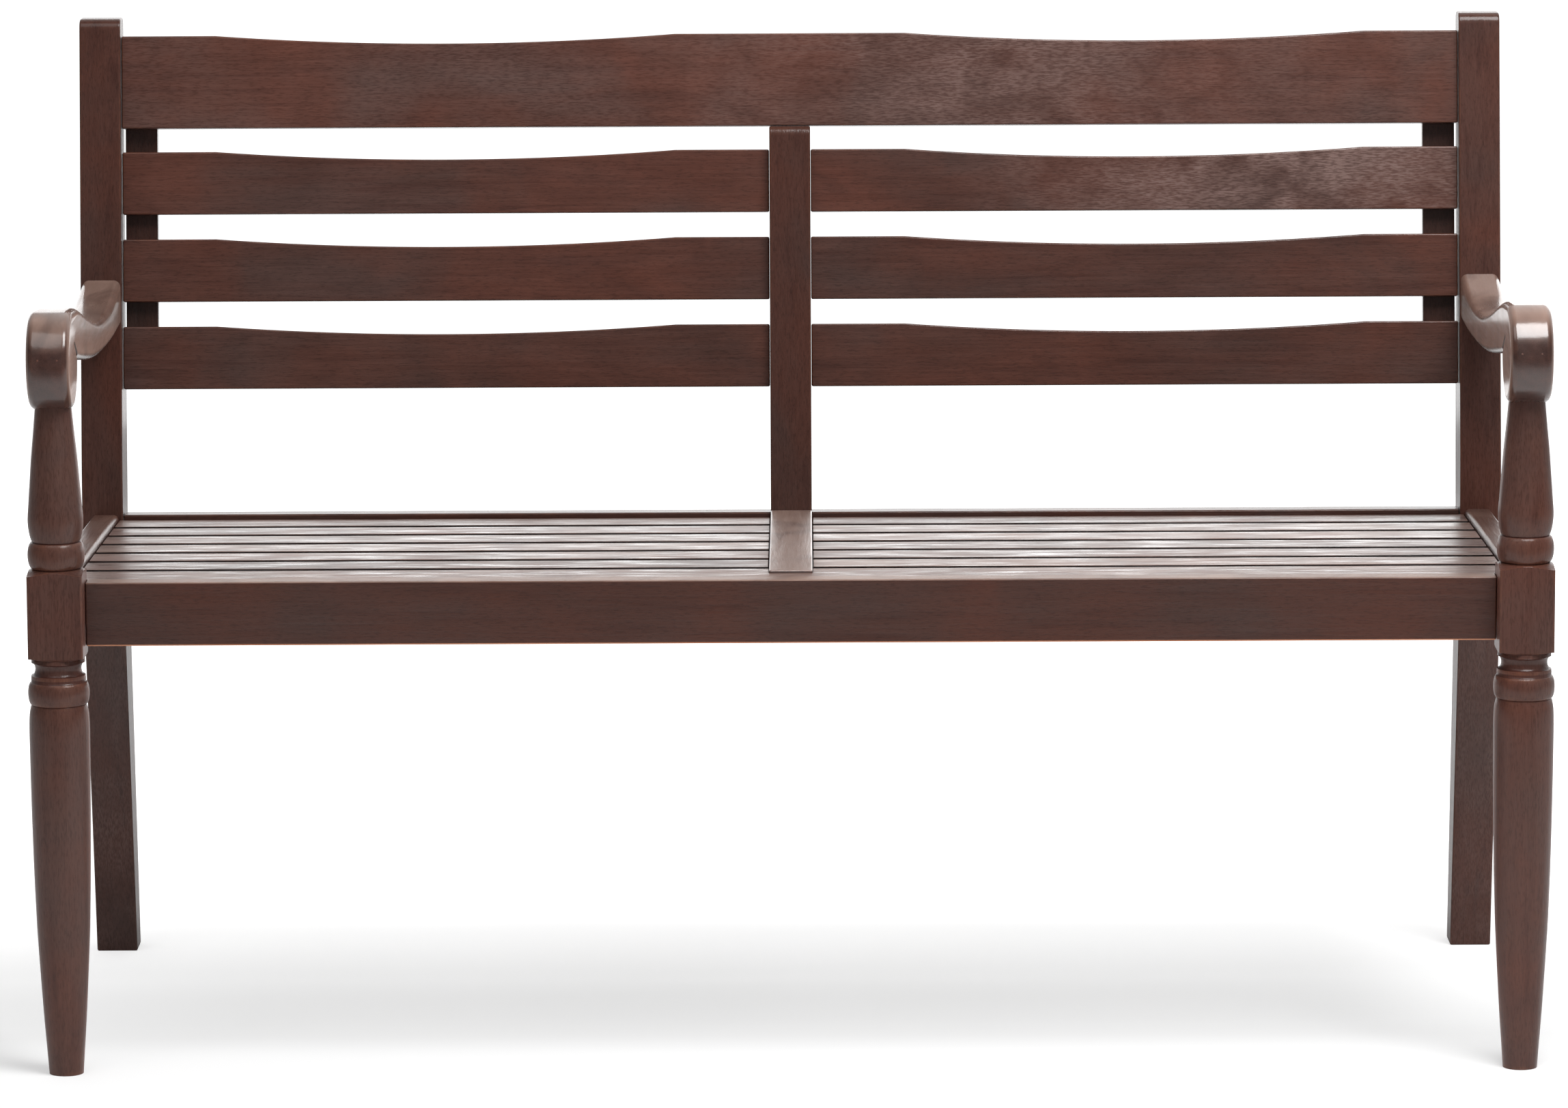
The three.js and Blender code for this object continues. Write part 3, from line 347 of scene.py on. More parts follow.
def sizes(name):
    """One of the groups of sizes."""
    return getattr(bpy.context.scene, "bench_" + name)


def seat_level(y):
    """Height of the seat at a distance behind the front leg axis."""
    layout = sizes("layout")
    return layout.seat_height - y * math.tan(layout.seat_tilt)


def knee_top():
    """Height where the rake of the posts starts."""
    layout = sizes("layout")
    return layout.seat_height + layout.knee_rise


def post_front(z):
    """Distance of the raked post faces behind the front leg axis."""
    layout = sizes("layout")
    return layout.seat_depth + (z - knee_top()) * math.tan(layout.back_rake)


def post_inner():
    """Distance of a post's inner face from the middle of the bench."""
    return (sizes("layout").post_spacing - sizes("posts").width) / 2


def leg_heights():
    """Heights of the turned parts of a front leg, from the floor up."""
    legs = sizes("legs")
    parts = (
        legs.swell_height, legs.bead_height, legs.fillet_height, legs.cove_height, legs.collar_height,
        legs.block_height, legs.ring_height, legs.vase_height,
    )
    heights = [0.0]
    for part in parts:
        heights.append(heights[-1] + part)
    return heights


def scroll_height():
    """Height of the middle of the arm scrolls."""
    arms = sizes("arms")
    return leg_heights()[-1] - arms.socket_depth + arms.scroll_radius


def rear_rail_front():
    """Distance of the rear rail behind the front leg axis."""
    return sizes("layout").seat_depth + sizes("rails").rear_setback


def rear_rail_top():
    """Height of the top of the rear rail."""
    return seat_level(rear_rail_front()) + sizes("rails").rear_rise


def seat_place():
    """Turns places measured on the seat into places in the room."""
    layout = sizes("layout")
    turned = Euler((-layout.seat_tilt, 0, 0)).to_matrix().to_4x4()
    return Matrix.Translation((0, layout.leg_axis, layout.seat_height)) @ turned


def back_place():
    """Turns places measured on the raked back into places in the room."""
    layout = sizes("layout")
    turned = Euler((-layout.back_rake, 0, 0)).to_matrix().to_4x4()
    return Matrix.Translation((0, layout.leg_axis + layout.seat_depth, knee_top())) @ turned


def crest_edges():
    """Lower and upper edge of the crest along the raked back."""
    layout, back = sizes("layout"), sizes("back")
    top = (sizes("posts").height - knee_top()) / math.cos(layout.back_rake) - back.crest_drop
    return top - back.crest_height, top


def back_slat_edges(index):
    """Lower and upper edge of a back slat, counted from the crest down."""
    layout, back = sizes("layout"), sizes("back")
    crest_bottom = crest_edges()[0]
    field = crest_bottom - (rear_rail_top() - knee_top()) / math.cos(layout.back_rake)
    high = crest_bottom - field * (back.crest_gap_share + index * (back.slat_share + back.gap_share))
    return high - field * back.slat_share, high


def stile_front(z):
    """Distance of the stile's face behind the front leg axis."""
    layout = sizes("layout")
    return post_front(z) + sizes("back").stile_setback / math.cos(layout.back_rake)


def seat_slat_rows():
    """Front and back edge of every seat slat behind the front leg axis, front slat first."""
    seat, rails, legs = sizes("seat"), sizes("rails"), sizes("legs")
    front = max(rails.front_setback + rails.front_thickness, legs.block_width / 2) + seat.front_gap
    rows = [(front, front + seat.front_width)]
    field = rear_rail_front() - seat.rear_setback - rows[0][1]
    pitch = field / seat.slat_count
    for index in range(seat.slat_count):
        low = rows[0][1] + index * pitch + seat.slat_gap
        rows.append((low, low + pitch - seat.slat_gap))
    return rows


def side_rail_faces():
    """Inner and outer face of a side rail from the middle of the bench."""
    rails = sizes("rails")
    inner = post_inner() + rails.side_inset
    return inner, inner + rails.side_thickness


# Curves


def smooth(points, steps):
    """Points of a smooth curve that runs through the given points."""
    curve = []
    spans = len(points) - 1
    for step in range(steps + 1):
        along = spans * step / steps
        first = min(int(along), spans - 1)
        weight = along - first
        knots = [Vector(points[min(max(first + i, 0), spans)]) for i in (-1, 0, 1, 2)]
        leave = (knots[2] - knots[0]) / 2
        arrive = (knots[3] - knots[1]) / 2
        square, cube = weight * weight, weight * weight * weight
        curve.append(
            knots[1] * (2 * cube - 3 * square + 1)
            + leave * (cube - 2 * square + weight)
            + knots[2] * (3 * square - 2 * cube)
            + arrive * (cube - square)
        )
    return curve


def band(bottom, height, edge_radius, middle_radius):
    """Profile of a round bead or, with a smaller middle, of a hollow."""
    profile = []
    for step in range(BAND_STEPS + 1):
        turn = math.pi * step / BAND_STEPS
        radius = edge_radius + (middle_radius - edge_radius) * math.sin(turn)
        profile.append((radius, bottom + height * (1 - math.cos(turn)) / 2))
    return profile


def blended(corners, reaches):
    """An outline with blended corners, each with its own reach."""
    outline = []
    for index, (corner, reach) in enumerate(zip(corners, reaches)):
        corner = Vector(corner)
        if reach == 0:
            outline.append(corner)
            continue
        before = Vector(corners[index - 1]) - corner
        after = Vector(corners[(index + 1) % len(corners)]) - corner
        start = corner + before.normalized() * reach
        end = corner + after.normalized() * reach
        for step in range(CORNER_STEPS + 1):
            share_along = step / CORNER_STEPS
            first = start.lerp(corner, share_along)
            second = corner.lerp(end, share_along)
            outline.append(first.lerp(second, share_along))
    return outline


# Bench work: small steps that every piece is made with


def put_down_tools():
    """Leaves edit mode and deselects everything."""
    if bpy.context.object and bpy.context.object.mode != "OBJECT":
        bpy.ops.object.mode_set(mode="OBJECT")
    bpy.ops.object.select_all(action="DESELECT")


def take(piece):
    """Selects one piece and makes it the active one."""
    put_down_tools()
    piece.select_set(True)
    bpy.context.view_layer.objects.active = piece
    return piece


def open_up(piece, action="SELECT"):
    """Opens a piece in edit mode with all of it or none of it selected."""
    take(piece)
    bpy.ops.object.mode_set(mode="EDIT")
    bpy.ops.mesh.select_all(action=action)


def face_out(piece):
    """Turns every face of a closed piece outwards."""
    open_up(piece)
    bpy.ops.mesh.normals_make_consistent(inside=False)
    put_down_tools()
    return piece


def named(name):
    """Names the piece that was just added."""
    piece = bpy.context.object
    piece.name = name
    piece.data.name = name
    return piece


def settle(piece, place=None):
    """Moves a piece to its place and keeps that place in its mesh."""
    take(piece)
    if place is not None:
        piece.matrix_world = place @ piece.matrix_world
    bpy.ops.object.transform_apply(location=True, rotation=True, scale=True)
    return piece


def billet(name, low, high):
    """A rectangular blank between two opposite corners."""
    put_down_tools()
    low, high = Vector(low), Vector(high)
    bpy.ops.mesh.primitive_cube_add(size=1, location=(low + high) / 2, scale=high - low)
    return settle(named(name))


def sawn(name, outline, pull):
    """A board sawn to an outline that is drawn point by point, then pulled to its thickness."""
    put_down_tools()
    corners = [Vector(corner) for corner in outline]
    bpy.ops.mesh.primitive_plane_add(size=CUT_OVERRUN, location=corners[0])
    piece = settle(named(name))
    open_up(piece)
    bpy.ops.mesh.merge(type="CENTER")
    for start, end in zip(corners, corners[1:]):
        bpy.ops.mesh.extrude_region_move(TRANSFORM_OT_translate={"value": end - start})
    bpy.ops.mesh.select_all(action="SELECT")
    bpy.ops.mesh.edge_face_add()
    bpy.ops.mesh.extrude_region_move(TRANSFORM_OT_translate={"value": pull})
    return face_out(piece)


def turned(name, profile, segments):
    """A piece turned on the lathe from (radius, height) points about the Z axis."""
    put_down_tools()
    radius, height = profile[0]
    bpy.ops.mesh.primitive_circle_add(
        vertices=segments, radius=radius, fill_type="NGON", location=(0, 0, height)
    )
    piece = settle(named(name))
    open_up(piece)
    for next_radius, next_height in profile[1:]:
        lift = (0, 0, next_height - height)
        bpy.ops.mesh.extrude_region_move(TRANSFORM_OT_translate={"value": lift})
        growth = next_radius / radius
        bpy.ops.transform.resize(value=(growth, growth, 1), center_override=(0, 0, next_height))
        radius, height = next_radius, next_height
    return face_out(piece)


def modify(piece, kind, **settings):
    """Adds a modifier with its settings and applies it."""
    take(piece)
    modifier = piece.modifiers.new(kind.title(), kind)
    for key, value in settings.items():
        setattr(modifier, key, value)
    bpy.ops.object.modifier_apply(modifier=modifier.name)
    return piece


def combine(piece, others, operation):
    """Joins pieces to a piece, cuts them from it or keeps what they share."""
    for other in others:
        modify(piece, "BOOLEAN", object=other, operation=operation, solver="EXACT")
        if not piece.data.polygons:
            raise RuntimeError(f"Nothing is left of {piece.name} after {other.name}")
        bpy.data.objects.remove(other)
    return piece


def cut_off(piece, place, outward):
    """Saws a piece off square at a plane and closes the cut."""
    open_up(piece)
    bpy.ops.mesh.bisect(plane_co=place, plane_no=outward, use_fill=True, clear_outer=True)
    put_down_tools()
    return piece


def round_edges(piece, test, width, segments):
    """Rounds the edges whose two ends pass a test."""
    open_up(piece, "DESELECT")
    bpy.ops.mesh.select_mode(type="EDGE")
    mesh = bmesh.from_edit_mesh(piece.data)
    for edge in mesh.edges:
        if test(edge.verts[0].co, edge.verts[1].co):
            edge.select_set(True)
    bmesh.update_edit_mesh(piece.data)
    bpy.ops.mesh.bevel(offset=width, segments=segments, affect="EDGES", profile=0.5)
    bpy.ops.mesh.select_mode(type="VERT")
    put_down_tools()
    return piece


def ease(piece, width, segments=ARRIS_STEPS):
    """Rounds every sharp edge and shades the broad faces flat."""
    corner = math.radians(BOARD_CORNER)
    modify(
        piece, "BEVEL", width=width, segments=segments, limit_method="ANGLE", angle_limit=corner,
        use_clamp_overlap=True,
    )
    take(piece)
    bpy.ops.object.shade_smooth()
    return modify(piece, "WEIGHTED_NORMAL", weight=FLAT_WEIGHT, keep_sharp=False)


def smooth_turning(piece):
    """Shades a turning smooth and keeps its quirks crisp."""
    take(piece)
    bpy.ops.object.shade_smooth_by_angle(angle=math.radians(TURNING_CORNER))
    return piece


def copied(piece, name, shift):
    """A copy with its own mesh, moved into place."""
    take(piece)
    bpy.ops.object.duplicate(linked=False)
    twin = named(name)
    bpy.ops.transform.translate(value=shift)
    return settle(twin)


def mirrored(piece, name):
    """A copy mirrored about the middle of the bench, with its faces turned out again."""
    twin = copied(piece, name, (0, 0, 0))
    twin.scale.x = -1
    return face_out(settle(twin))


def mark_bends(piece):
    """Stores how sharply each face bends away from its neighbours. Hollows lie under zero."""
    mesh = bmesh.new()
    mesh.from_mesh(piece.data)
    bends = []
    for face in mesh.faces:
        turn = sum(edge.calc_face_angle_signed(0) * edge.calc_length() for edge in face.edges)
        bends.append(turn / max(face.calc_area(), TINY_AREA) / BEND_UNIT)
    mesh.free()
    marks = piece.data.attributes.new("bend", "FLOAT", "FACE")
    marks.data.foreach_set("value", bends)


def fit(piece, nodes, material):
    """Puts a finished piece in the bench in place of its plain solids."""
    mark_bends(piece)
    piece.data.materials.clear()
    piece.data.materials.append(material)
    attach(piece, "root")
    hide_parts(*nodes)


# Finishes


class Tree:
    """Short hand for laying out the nodes of a material or of the surroundings."""

    def __init__(self, owner):
        owner.use_nodes = True
        self.owner, self.tree = owner, owner.node_tree
        self.tree.nodes.clear()

    def node(self, kind, settings=None, **inputs):
        """A shader node with its settings and its inputs, which are named or counted as i0, i1 and on."""
        made = self.tree.nodes.new(f"ShaderNode{kind}")
        for key, value in (settings or {}).items():
            setattr(made, key, value)
        for key, value in inputs.items():
            counted = key[0] == "i" and key[1:].isdigit()
            socket = made.inputs[int(key[1:]) if counted else key.replace("_", " ")]
            if isinstance(value, bpy.types.NodeSocket):
                self.tree.links.new(value, socket)
            else:
                socket.default_value = value
        return made

    def out(self, kind, settings=None, **inputs):
        """The first output of such a node."""
        return self.node(kind, settings, **inputs).outputs[0]

    def finished(self, surface):
        """Puts the surface on a material and returns the material."""
        self.node("OutputMaterial", Surface=surface)
        return self.owner

    def ramp(self, value, stops):
        """Colours along a value, from (place, colour) stops."""
        made = self.node("ValToRGB", Fac=value)
        ramp = made.color_ramp
        for index, (place, tone) in enumerate(stops):
            stop = ramp.elements[index] if index < 2 else ramp.elements.new(place)
            stop.position = place
            stop.color = (*tone, 1)
        return made.outputs["Color"]

    def mix(self, amount, first, second):
        """A colour laid over another."""
        return self.node("Mix", {"data_type": "RGBA"}, i0=amount, i6=first, i7=second).outputs[2]

    def scaled(self, value, low, high, from_low=0.0, from_high=1.0):
        """A value moved from its own range to another."""
        return self.out(
            "MapRange", Value=value, From_Min=from_low, From_Max=from_high, To_Min=low, To_Max=high
        )

    def noise(self, vector, scale, detail, roughness, distortion=0.0):
        """Soft random patches."""
        return self.out(
            "TexNoise", Vector=vector, Scale=scale, Detail=detail, Roughness=roughness, Distortion=distortion
        )

    def worked(self, operation, first, second=0.0):
        """Two values worked into one."""
        return self.out("Math", {"operation": operation}, i0=first, i1=second)

    def product(self, first, second):
        """One value times another."""
        return self.worked("MULTIPLY", first, second)

    def measured(self, operation, **places):
        """A distance or a length."""
        return self.node("VectorMath", {"operation": operation}, **places).outputs["Value"]

    def times(self, tint, level):
        """A colour made lighter or darker."""
        return self.out("VectorMath", {"operation": "SCALE"}, i0=tint, i3=level)

    def axes(self, vector):
        """The three parts of a place or a direction."""
        return self.node("SeparateXYZ", Vector=vector).outputs

    def bump(self, strength, depth, height, **under):
        """A fine relief, over another one if that is given as Normal."""
        return self.out("Bump", Strength=strength, Distance=depth, Height=height, **under)

    def diffuse(self, tint):
        """A matt surface."""
        return self.out("BsdfDiffuse", Color=tint)

    def laid_over(self, amount, first, second):
        """A surface laid over another."""
        return self.out("MixShader", i0=amount, i1=first, i2=second)

    def by_ray(self, lighting, mirrored, seen):
        """One surface for the light that it throws back, one in the gloss and one for the camera."""
        path = self.node("LightPath").outputs
        direct = self.worked("MAXIMUM", path["Is Camera Ray"], path["Is Transmission Ray"])
        return self.laid_over(direct, self.laid_over(path["Is Glossy Ray"], lighting, mirrored), seen)


# Turns of the grain, so that it runs along X of the pattern
GRAIN_TURNS = {"x": (0, 0, 0), "y": (0, 0, math.pi / 2), "z": (0, math.pi / 2, 0)}
# Patterns in the order in which the wood takes them: stretch, scale, detail, roughness, distortion
PATTERNS = {
    "figure": (5.5, 3.6, 4, 0.55, 0.35),
    "veins": (16, 5.5, 5, 0.6, 0.3),
    "flecks": (6, 150, 2, 0.5, 0),
    "clouds": (1, 6.5, 3, 0.5, 0.5),
    "ripples": (1.7, 15, 3, 0.5, 0.9),
    "scuffs": (1, 45, 4, 0.65, 0),
}
STREAK_PATTERN = (16, 4, 0.6, 0)
METAL_PATTERN = (900, 4, 0.6)
# Ranges of the patterns, the directions and the bends in which each layer comes in
RANGES = {
    "stain": (0.36, 0.64), "red": (0.42, 0.66), "veins": (0.28, 0.47), "streaks": (0.3, 0.7),
    "pores": (0.36, 0.47), "ripples": (0.35, 0.65), "highlight_haze": (0.35, 0.62), "highlight_flecks": (0.42, 0.62),
    "looks_up": (0.3, 0.9), "looks_aside": (0.6, 0.97), "top_light": (0.2, 0.8), "end_face": (0.93, 0.99),
    "hollow": (-0.5, -0.05), "edge": (0.02, 0.35), "scuffs": (0.40, 0.62), "looks_down": (-0.4, -0.05),
    "lower_edge": (0.05, 0.3), "coat": (0.5, 0.95),
}
# Least and most strength that a pattern gives to a layer
LIGHT_PATCH_RIPPLES = (0.25, 1.5)
HIGHLIGHT_FLECKS = (0.5, 1.7)
TOP_SHEEN_RIPPLES = (0.6, 1.25)
FLANK_SHEEN_RIPPLES = (0.75, 1.1)
EDGE_SCUFFS = (0.1, 1)
# Shares of the red and the vein layers, of the thin painted highlight and of the painted shade in hollows
RED_SHARE = 0.6
VEIN_SHARE = 0.5
THIN_HIGHLIGHT = 0.2
HOLLOW_SHADE_SHARE = 0.8
# Change of the roughness along the streaks, and on metal along its patches
STREAK_GLOSS = (-0.08, 0.1)
METAL_GLOSS = (-0.08, 0.15)
DARK_METAL = 0.6
WOOD_IOR = 1.5
# Reliefs: strength, depth in metres
PORE_RELIEF = (0.25, 0.0004)
STREAK_RELIEF = (0.1, 0.001)
VEIN_RELIEF = (0.15, 0.004)
METAL_RELIEF = (0.2, 0.0002)


def wood(
    name, along, shift, tone=1.0, red=0.0, highlight_haze=0.0, wear=0.15, gloss=0.55, dull=0.0, bleach=0.0, sides=1.0,
    end_face_light=1.0, grain=1.0, fineness=34, blotch=0.0, under=0.0, flanks=1.0, flank_sheen=0.0, relief=1.0,
    specular=0.12, coat_ior=1.5, bloom=None,
):
    """Dark stained hardwood under a satin lacquer, worn on its edges, with painted shade in its hollows and
    painted sheen and highlights on its faces.

    Stain: tone, red. Painted highlights: haze, and bloom round a place. Pattern: grain, fineness, blotch.
    Painted sheen: bleach on faces that look up, flank_sheen on faces that look aside. Worn wood: wear on
    edges, under on lower edges, painted brighter than the shade there. Painted light and shade: sides darkens
    faces that do not look up, cheeks lightens end faces. Lacquer: gloss, flanks, dull, specular, coat_ior,
    relief.
    """
    finish = sizes("wood")
    tree = Tree(bpy.data.materials.new(name))
    coordinates = tree.node("TexCoord").outputs
    place = coordinates["Object"]
    laid = tree.out("Mapping", Vector=place, Location=shift, Rotation=GRAIN_TURNS[along])

    def pattern(stretch, *values):
        """Noise that is drawn out along the grain."""
        return tree.noise(tree.out("Mapping", Vector=laid, Scale=(1, stretch, stretch)), *values)

    def part(value, low, high, layer):
        """How much of a layer shows."""
        return tree.scaled(value, low, high, *RANGES[layer])

    figure, veins, flecks, clouds, ripples, scuffs = (pattern(*values) for values in PATTERNS.values())
    streaks = pattern(fineness, *STREAK_PATTERN)
    dark, middle, cool, red_tint, worn = (
        (*[c * tone for c in tint], 1)
        for tint in (finish.dark, finish.middle, finish.cool, finish.red, finish.worn)
    )
    # hazy is the painted highlight colour, pale the painted sheen colour, bare worn wood painted brighter
    # than its shade
    highlight_tint, pale, bare = ((*tint, 1) for tint in (finish.highlight_haze, finish.bleached, finish.bare))

    body = tree.mix(part(figure, 0, 1, "stain"), cool, middle)
    body = tree.mix(part(clouds, red * RED_SHARE, RED_SHARE + red, "red"), body, red_tint)
    body = tree.mix(part(veins, VEIN_SHARE, 0, "veins"), body, dark)
    contrast = finish.streaks * grain
    pores = part(flecks, 1 - finish.pores, 1, "pores")
    level = tree.product(part(streaks, 1 - contrast, 1 + contrast, "streaks"), pores)
    body = tree.times(body, tree.product(level, part(ripples, 1 - blotch, 1 + blotch, "ripples")))

    # Painted highlights: pale patches over the clouds, and a brighter patch round a given place
    highlight_mask = part(clouds, highlight_haze, highlight_haze * THIN_HIGHLIGHT, "highlight_haze")
    if bloom:
        centre, reach, amount = bloom
        away = tree.measured("DISTANCE", i0=place, i1=centre)
        rippled = part(ripples, *LIGHT_PATCH_RIPPLES, "ripples")
        highlight_mask = tree.worked("ADD", highlight_mask, tree.product(tree.scaled(away, amount, 0, 0, reach), rippled))
    body = tree.mix(tree.product(highlight_mask, part(flecks, *HIGHLIGHT_FLECKS, "highlight_flecks")), body, highlight_tint)

    facing = tree.axes(coordinates["Normal"])
    upward, aside = facing["Z"], tree.worked("ABSOLUTE", facing["X"])
    # Painted sheen: a paler colour on faces that look up
    bleached = tree.product(part(upward, 0, bleach, "looks_up"), part(ripples, *TOP_SHEEN_RIPPLES, "ripples"))
    body = tree.mix(bleached, body, pale)
    # Painted sheen: a paler colour on faces that look aside
    rippled = part(ripples, *FLANK_SHEEN_RIPPLES, "ripples")
    body = tree.mix(tree.product(part(aside, 0, flank_sheen, "looks_aside"), rippled), body, pale)
    # Painted light and shade: faces that do not look up darker by sides, end faces lighter by cheeks
    lit = tree.product(part(upward, sides, 1, "top_light"), part(aside, 1, end_face_light, "end_face"))
    body = tree.times(body, lit)

    bend = tree.node("Attribute", {"attribute_name": "bend"}).outputs["Fac"]
    # Painted shade: the hollows darkened towards the dark stain
    body = tree.mix(part(bend, HOLLOW_SHADE_SHARE, 0, "hollow"), body, dark)
    edge = tree.product(part(bend, 0, wear, "edge"), part(scuffs, *EDGE_SCUFFS, "scuffs"))
    body = tree.mix(edge, body, worn)
    # Worn wood on lower edges, painted brighter than the shade there
    lower_edge = tree.product(part(upward, under, 0, "looks_down"), part(bend, 0, 1, "lower_edge"))
    body = tree.mix(lower_edge, body, bare)

    smoother, rougher = (finish.roughness + change * grain for change in STREAK_GLOSS)
    normal = tree.bump(PORE_RELIEF[0] * relief, PORE_RELIEF[1], pores)
    normal = tree.bump(min(STREAK_RELIEF[0] * grain * relief, 1), STREAK_RELIEF[1], streaks, Normal=normal)
    normal = tree.bump(VEIN_RELIEF[0] * relief, VEIN_RELIEF[1], veins, Normal=normal)
    coat = min(finish.lacquer * gloss, 1)
    return tree.finished(tree.out(
        "BsdfPrincipled", Base_Color=body, Roughness=part(streaks, smoother, rougher, "streaks"),
        Normal=normal, IOR=WOOD_IOR, Specular_IOR_Level=specular, Coat_Normal=normal, Coat_IOR=coat_ior,
        Coat_Weight=part(aside, coat, coat * flanks, "coat"), Coat_Roughness=finish.lacquer_roughness + dull,
    ))


# What sets the finish of each kind of piece apart
# On the seat slats, sides paints shade on the upright faces in the gaps and bleach paints sheen on the tops
SEAT_SLAT_FINISH = {
    "tone": 1.3, "gloss": 0.55, "dull": 0.15, "bleach": 0.42, "sides": 0.1, "grain": 4, "fineness": 7,
    "blotch": 0.25, "specular": 0.55,
}
FINISHES = {
    "leg": {"tone": 1.18, "red": -0.1, "highlight_haze": 0.04, "wear": 0.2, "gloss": 0.4, "end_face_light": 1.8},
    "post": {"red": 0.25},
    "arm": {
        "tone": 0.72, "gloss": 1.12, "dull": 0.01, "bleach": 0.9, "grain": 1.5, "fineness": 9, "blotch": 0.25,
        "flanks": 0.75, "flank_sheen": 1.0, "relief": 0.3, "end_face_light": 1.5, "specular": 0.14, "coat_ior": 1.6,
    },
    "pin": {"tone": 1.1, "highlight_haze": 0.35, "gloss": 1.1},
    "apron": {"tone": 0.92, "red": 0.1, "wear": 0.1, "dull": 0.15, "bleach": 0.9, "under": 1.0, "grain": 0.5},
    "back_rail": {"tone": 0.9},
    "end_rail": {"tone": 0.95, "gloss": 0.4, "dull": 0.1, "bleach": 0.3},
    "support": {"tone": 0.85, "wear": 0.0},
    "long_slat": SEAT_SLAT_FINISH,
    "bay_slat": SEAT_SLAT_FINISH,
    "board": {
        "tone": 1.5, "gloss": 1.1, "dull": 0.2, "bleach": 0.95, "sides": 0.5, "grain": 1.5, "fineness": 12,
        "blotch": 0.42, "specular": 0.8, "coat_ior": 1.8,
    },
    # bloom paints a highlight on the right of the crest
    "crest": {
        "tone": 1.22, "red": 0.05, "highlight_haze": 0.15, "blotch": 0.12, "bloom": ((0.20, 0.27, 0.84), 0.36, 0.25),
    },
    "scooped_slat": {"blotch": 0.1},
    "upright": {"tone": 0.86, "red": 0.1},
    "slat_batten": {"tone": 0.7},
}
# Grain of each kind: its direction, its place in the pattern, what the side and the count add to that
GRAINS = {
    "leg": ("z", (0, 1.7, 0.2), (0.3, 0, 0)),
    "post": ("z", (0.7, 0, 0.9), (0, 0.4, 0)),
    "arm": ("y", (0, 0.6, 0.35), (0.15, 0, 0)),
    "pin": ("y", (0.5, 0.1, 0.9)),
    "apron": ("x", (0.2, 0.9, 0.5)),
    "back_rail": ("x", (0.8, 0.3, 0.1)),
    "end_rail": ("y", (0.4, 0, 0.7), (0, 0.2, 0)),
    "long_slat": ("x", (0.6, 0.2, 0.4)),
    "bay_slat": ("x", (0, 0, 0), (0.2, 0, 0.71), (0.37, 0.53, 0)),
    "board": ("y", (0.9, 0.1, 0.3)),
    "crest": ("x", (0.35, 0.15, 0.8)),
    "scooped_slat": ("x", (0, 0, 0), (0.3, 0, 0.29), (0.61, 0.43, 0)),
    "upright": ("z", (0.5, 0.8, 0.2)),
    "slat_batten": ("z", (0.9, 0.2, 0), (0, 0, 0.5)),
}
SUPPORT_SHIFTS = {
    "side_cleat_left": (0.1, 1.6667, 0.6),
    "side_cleat_right": (0.1, 1.7778, 0.6),
    "centre_bearer": (0.1, 1.4444, 0.6),
}
# Tones: middle, change with the side, change with the count. The posts' change with the side paints light on
# the right post, and the back slats' change with the count paints shade on the lower slats
POST_TONE_AND_LIGHT = (0.94, 0.06, 0)
BACK_SLAT_TONE_AND_SHADE = (1.16, -0.02, -0.04)
# Tone and painted sheen of the seat slats: middle, swing, turn with the side, turn with the count
SEAT_SLAT_TONE = (1.3, 0.3, 1, 2.3)
SEAT_SLAT_TOP_SHEEN = (0.42, 0.2, 2, 1.7)
# Painted highlight on the top right slat of the back: its middle, how far it reaches, how strong it is
SLAT_LIGHT_PATCH = ((0.47, 0.26, 0.74), 0.32, 0.58)
# The same on the posts, as painted light on their lower part in the shade of the seat, whose own place across
# the bench is put before it
POST_LIGHT_PATCH = ((0.2, 0.12), 0.42, 0.15)


def stain(kind, ending="", side=0, index=0, **changes):
    """The wood of one piece: the finish and grain of its kind, with its own changes."""
    along, shift, *moves = GRAINS[kind]
    for move, count in zip(moves, (side, index)):
        shift = [place + step * count for place, step in zip(shift, move)]
    return wood(f"{kind}_wood{ending}", along, shift, **{**FINISHES[kind], **changes})


def graded(values, side, index=0):
    """A value that changes steadily from piece to piece."""
    middle, by_side, by_index = values
    return middle + by_index * index + by_side * side


def swayed(values, side, index):
    """A value that swings from piece to piece."""
    middle, swing, by_side, by_index = values
    return middle + swing * math.sin(by_index * index + by_side * side)


def metal(name, base, rough):
    """Worn metal with brushed streaks and dull patches."""
    tree = Tree(bpy.data.materials.new(name))
    place = tree.node("TexCoord").outputs["Object"]
    patches = tree.noise(place, *METAL_PATTERN)
    low, high = RANGES["streaks"]
    tint = tree.ramp(patches, ((low, [c * DARK_METAL for c in base]), (high, base)))
    smoother, rougher = (rough + change for change in METAL_GLOSS)
    return tree.finished(tree.out(
        "BsdfPrincipled", Base_Color=tint, Metallic=1.0, Normal=tree.bump(*METAL_RELIEF, patches),
        Roughness=tree.scaled(patches, smoother, rougher, low, high),
    ))


class BenchStep(bpy.types.Operator):
    """A step in building the bench"""

    bl_options = {"REGISTER", "UNDO"}


